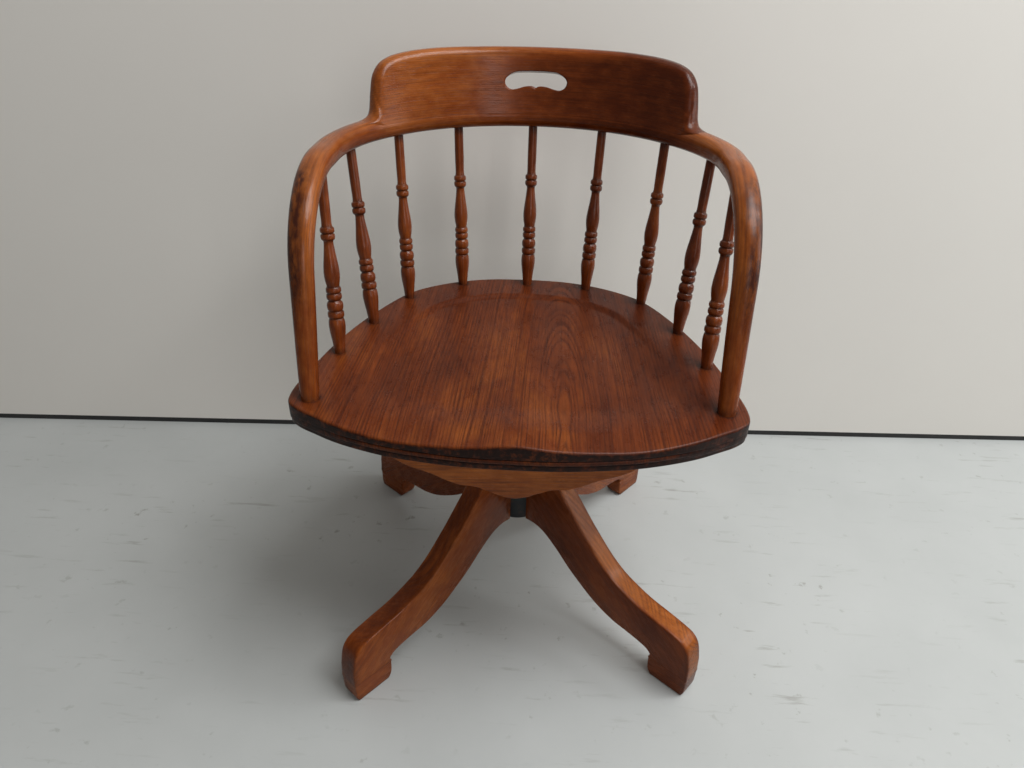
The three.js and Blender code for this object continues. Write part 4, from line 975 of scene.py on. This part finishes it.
def height_screw():
    sides, pitch, tooth, radius, bottom, shoulder = 96, 8.0, 1.6, 14, 152.0, 325.4
    keyway_floor, keyway_half, keyway_top = 10.0, 3.1, 275
    collar = [(21.6, shoulder), (22, 325.9), (22, 332.7), (21.6, 333.2)]
    journal = [(10, 333.2), (10, 359.2), (8, 359.2), (8, 367.2), (10, 367.2), (10, 388.4), (9.2, 389.2)]
    rows = int((shoulder - bottom) / 0.5)
    rings = []
    for row in range(rows + 1):
        z = lerp(bottom, shoulder, row / rows)
        ring = []
        for k in range(sides):
            angle = 2 * PI * k / sides
            turn = ((z - bottom) / pitch - k / sides) % 1
            depth = smooth(0.28, 0.4, turn) * smooth(0.92, 0.8, turn)
            depth *= smooth(bottom + 1, bottom + 7, z) * smooth(shoulder - 2, shoulder - 9, z)
            r = radius - tooth * depth - 1.2 * smooth(bottom + 1.5, bottom, z)
            x, y = r * math.cos(angle), r * math.sin(angle)
            if y > keyway_floor and abs(x) < keyway_half and z < keyway_top:
                y = keyway_floor
            ring.append((x, y, z))
        rings.append(ring)
    verts, faces = skin(rings + [circle(r, z, sides) for r, z in collar + journal])
    piece("height_screw_threaded", verts, faces, "screw", STEEL, "height_screw", turn=BASE_TURN, crease=35)


def seat_iron():
    profile = [(0.01, 397.7), (10.3, 397.7), (10.3, 336.3), (23, 336.3), (23.6, 340), (27, 391.7),
               (40, 400.4), (40, PLATE_LOW + PLATE), (0.01, PLATE_LOW + PLATE)]
    verts, faces = lathe(rounded(profile, 1.6), 72)
    end, half = 137, 13
    outline = [(24, -half), (end, -half)]
    outline += [(end + half * math.sin(k / 12 * PI), -half * math.cos(k / 12 * PI)) for k in range(1, 12)]
    outline += [(end, half), (24, half)]
    plate, shape = board(outline, PLATE, 1.2)
    for arm in range(4):
        angle = (arm + 0.5) / 4 * 2 * PI
        start = len(verts)
        c, s = math.cos(angle), math.sin(angle)
        verts += [(x * c - z * s, x * s + z * c, y + PLATE_LOW + PLATE / 2) for x, y, z in plate]
        faces += [tuple(start + v for v in f) for f in shape]
    piece("seat_iron_cast", verts, faces, "seat", IRON, "seat_iron", crease=45)


def set_screw():
    out, height = 27.6, 363.2
    verts, faces = lathe(rounded([(0.01, 8.3), (3, 8.3), (3, 27), (2.4, out), (0.01, out)], 0.4), 24)
    verts = [(z, y, height - x) for x, y, z in verts]
    obj = piece("set_screw_slotted", verts, faces, "seat", STEEL, "set_screw", crease=35)
    slotted(obj, (out, 0, height), (0, 0.5, 0.86), 1.0, 1.2, (1, 0, 0))


def carried_over():
    """CAD nodes that stay: small ones, mostly hidden, which only get their finish."""
    looks = {"guide_bush": BRASS}
    for i in range(4):
        looks[f"crest_dowel_{i + 1}"] = TURNED_WOOD
        looks[f"leg_screw_{LEG_NAMES[i]}"] = STEEL
    for name, material in looks.items():
        obj = NODES[name]
        obj.data.materials.clear()
        obj.data.materials.append(material)


# Floor, wall, camera and lights

def stage_piece(name, verts, material):
    mesh = bpy.data.meshes.new(name)
    mesh.from_pydata(verts, [], [tuple(range(len(verts)))])
    mesh.materials.append(material)
    added(name, mesh)


def plain(name, colour, darker, scale, roughness, scuffs=0.0):
    n = Nodes(name)
    place = n.put("TexCoord").outputs["Object"]
    base = n.ramp(n.noise(place, scale, 5.0, 0.6), [(0.35, darker), (0.65, colour)])
    if scuffs:
        # Faint scrapes and specks, thicker in some areas
        stretch = {"Vector": place, "Rotation": (0, 0, 0.6), "Scale": (9.0, 70.0, 1.0)}
        scrape = n.noise(n.put("Mapping", stretch).outputs[0], 1.0, 6.0, 0.6)
        scrape = n.ramp(scrape, [(0.6, 0.0), (0.7, 1.0)])
        speck = n.ramp(n.noise(place, 42.0, 4.0, 0.6), [(0.64, 0.0), (0.7, 1.0)])
        worn = n.ramp(n.noise(place, 3.5, 2.0, 0.6), [(0.45, 0.15), (0.7, 1.0)])
        marks = n.times(n.math("MAXIMUM", scrape, speck), worn)
        base = n.mix(n.times(marks, scuffs), base, (0.22, 0.21, 0.19))
    fill(n.tree, n.shader.inputs["Base Color"], base)
    n.shader.inputs["Roughness"].default_value = roughness
    # Only the front of floor and wall is there, so that neither hides the chair from behind or from below
    back = n.put("NewGeometry").outputs["Backfacing"]
    clear = n.put("BsdfTransparent").outputs[0]
    one_sided = n.put("MixShader", {0: back, 1: n.shader.outputs[0], 2: clear})
    n.tree.links.new(one_sided.outputs[0], n.tree.nodes["Material Output"].inputs["Surface"])
    return n.material


# The camera that was solved from the photograph: its focal length in pixels, place and turns
WIDE, TALL, SENSOR, FOCAL = 1024, 768, 36.0, 728.936848
CAMERA = Vector((22.07, -904.05 + AXIS_Y, 931.99)) * MM
PITCH, YAW, ROLL = 0.5528127, -0.0386265, 0.0241721


def camera_axes():
    forward = Vector((math.sin(YAW) * math.cos(PITCH), math.cos(YAW) * math.cos(PITCH), -math.sin(PITCH)))
    right = Vector((math.cos(YAW), -math.sin(YAW), 0))
    up = right.cross(forward)
    c, s = math.cos(ROLL), math.sin(ROLL)
    return right * c + up * s, up * c - right * s, forward


def on_floor(px, py):
    """The point of the floor that this pixel of the photograph shows."""
    right, up, forward = camera_axes()
    ray = forward * FOCAL + right * (px - WIDE / 2) - up * (py - TALL / 2)
    return CAMERA + ray * (-CAMERA.z / ray.z)


def camera():
    data = bpy.data.cameras.new("camera")
    data.sensor_width = SENSOR
    data.lens = FOCAL / WIDE * SENSOR
    obj = added("camera", data)
    right, up, forward = camera_axes()
    turn = Matrix((right, up, -forward)).transposed()
    obj.matrix_world = Matrix.Translation(CAMERA) @ turn.to_4x4()
    bpy.context.scene.camera = obj


def stage():
    floor = plain("floor_paint", (0.455, 0.468, 0.46), (0.42, 0.433, 0.425), 3.0, 0.6, 0.8)
    wall = plain("wall_paint", (0.80, 0.77, 0.725), (0.785, 0.755, 0.71), 2.0, 0.8)
    # A near-black sheet at the wall's foot, a millimetre off its face, stands for the shade in the gap under
    # the wall
    gap_shade = plain("wall_gap_shade_paint", (0.03, 0.03, 0.03), (0.02, 0.02, 0.02), 9.0, 0.9)
    stage_piece("floor", [(-4, -3, 0), (4, -3, 0), (4, 3, 0), (-4, 3, 0)], floor)
    # The line where the wall meets the floor in the photograph
    a, b = on_floor(0, 417.9), on_floor(WIDE, 440.8)
    along = (b - a).normalized()
    away = Vector((-along.y, along.x, 0)) * 0.001
    left, right = a - along * 3, b + along * 3
    for name, low, high, back, material in (
            ("wall", 0.012, 4, Vector(), wall), ("wall_gap_shade", 0, 0.048, away, gap_shade)):
        low, high = back + Vector((0, 0, low)), back + Vector((0, 0, high))
        stage_piece(name, [tuple(p) for p in (left + low, right + low, right + high, left + high)], material)


def lights():
    world = bpy.data.worlds.new("world")
    bpy.context.scene.world = world
    world.use_nodes = True
    background = world.node_tree.nodes["Background"]
    background.inputs["Color"].default_value = (1.0, 0.97, 0.93, 1)
    background.inputs["Strength"].default_value = 0.19
    for name, place, aim, size, power, colour in (
            ("window", (2.5, 0.15, 2.3), (0, 0, 0.4), (0.5, 0.5), 11, (0.96, 0.99, 1.0)),
            ("low_window", (2.6, 0, 1.1), (0, 0, 0.6), (1.1, 1.0), 10, (0.96, 0.99, 1.0)),
            ("skylight", (1.3, -0.5, 3.1), (0, 0.1, 0.3), (1.6, 1.6), 80, (0.99, 1.0, 1.0)),
            ("doorway", (1.05, -2.6, 1.5), (0, 0, 0.6), (0.7, 1.5), 10, (1.0, 0.99, 0.97))):
        data = bpy.data.lights.new(name, "AREA")
        data.shape = "RECTANGLE"
        data.size, data.size_y = size
        data.energy = power
        data.color = colour
        obj = added(name, data)
        obj.location = place
        obj.rotation_mode = "QUATERNION"
        obj.rotation_quaternion = (Vector(aim) - Vector(place)).to_track_quat("-Z", "Y")


bpy.context.scene.view_settings.view_transform = "Standard"
camera()
seat_board()
arm_bow()
crest_rail()
spindles()
bearers()
legs()
hub()
key_screw()
washers()
hand_nut()
height_screw()
seat_iron()
set_screw()
small_screws()
carried_over()
stage()
lights()
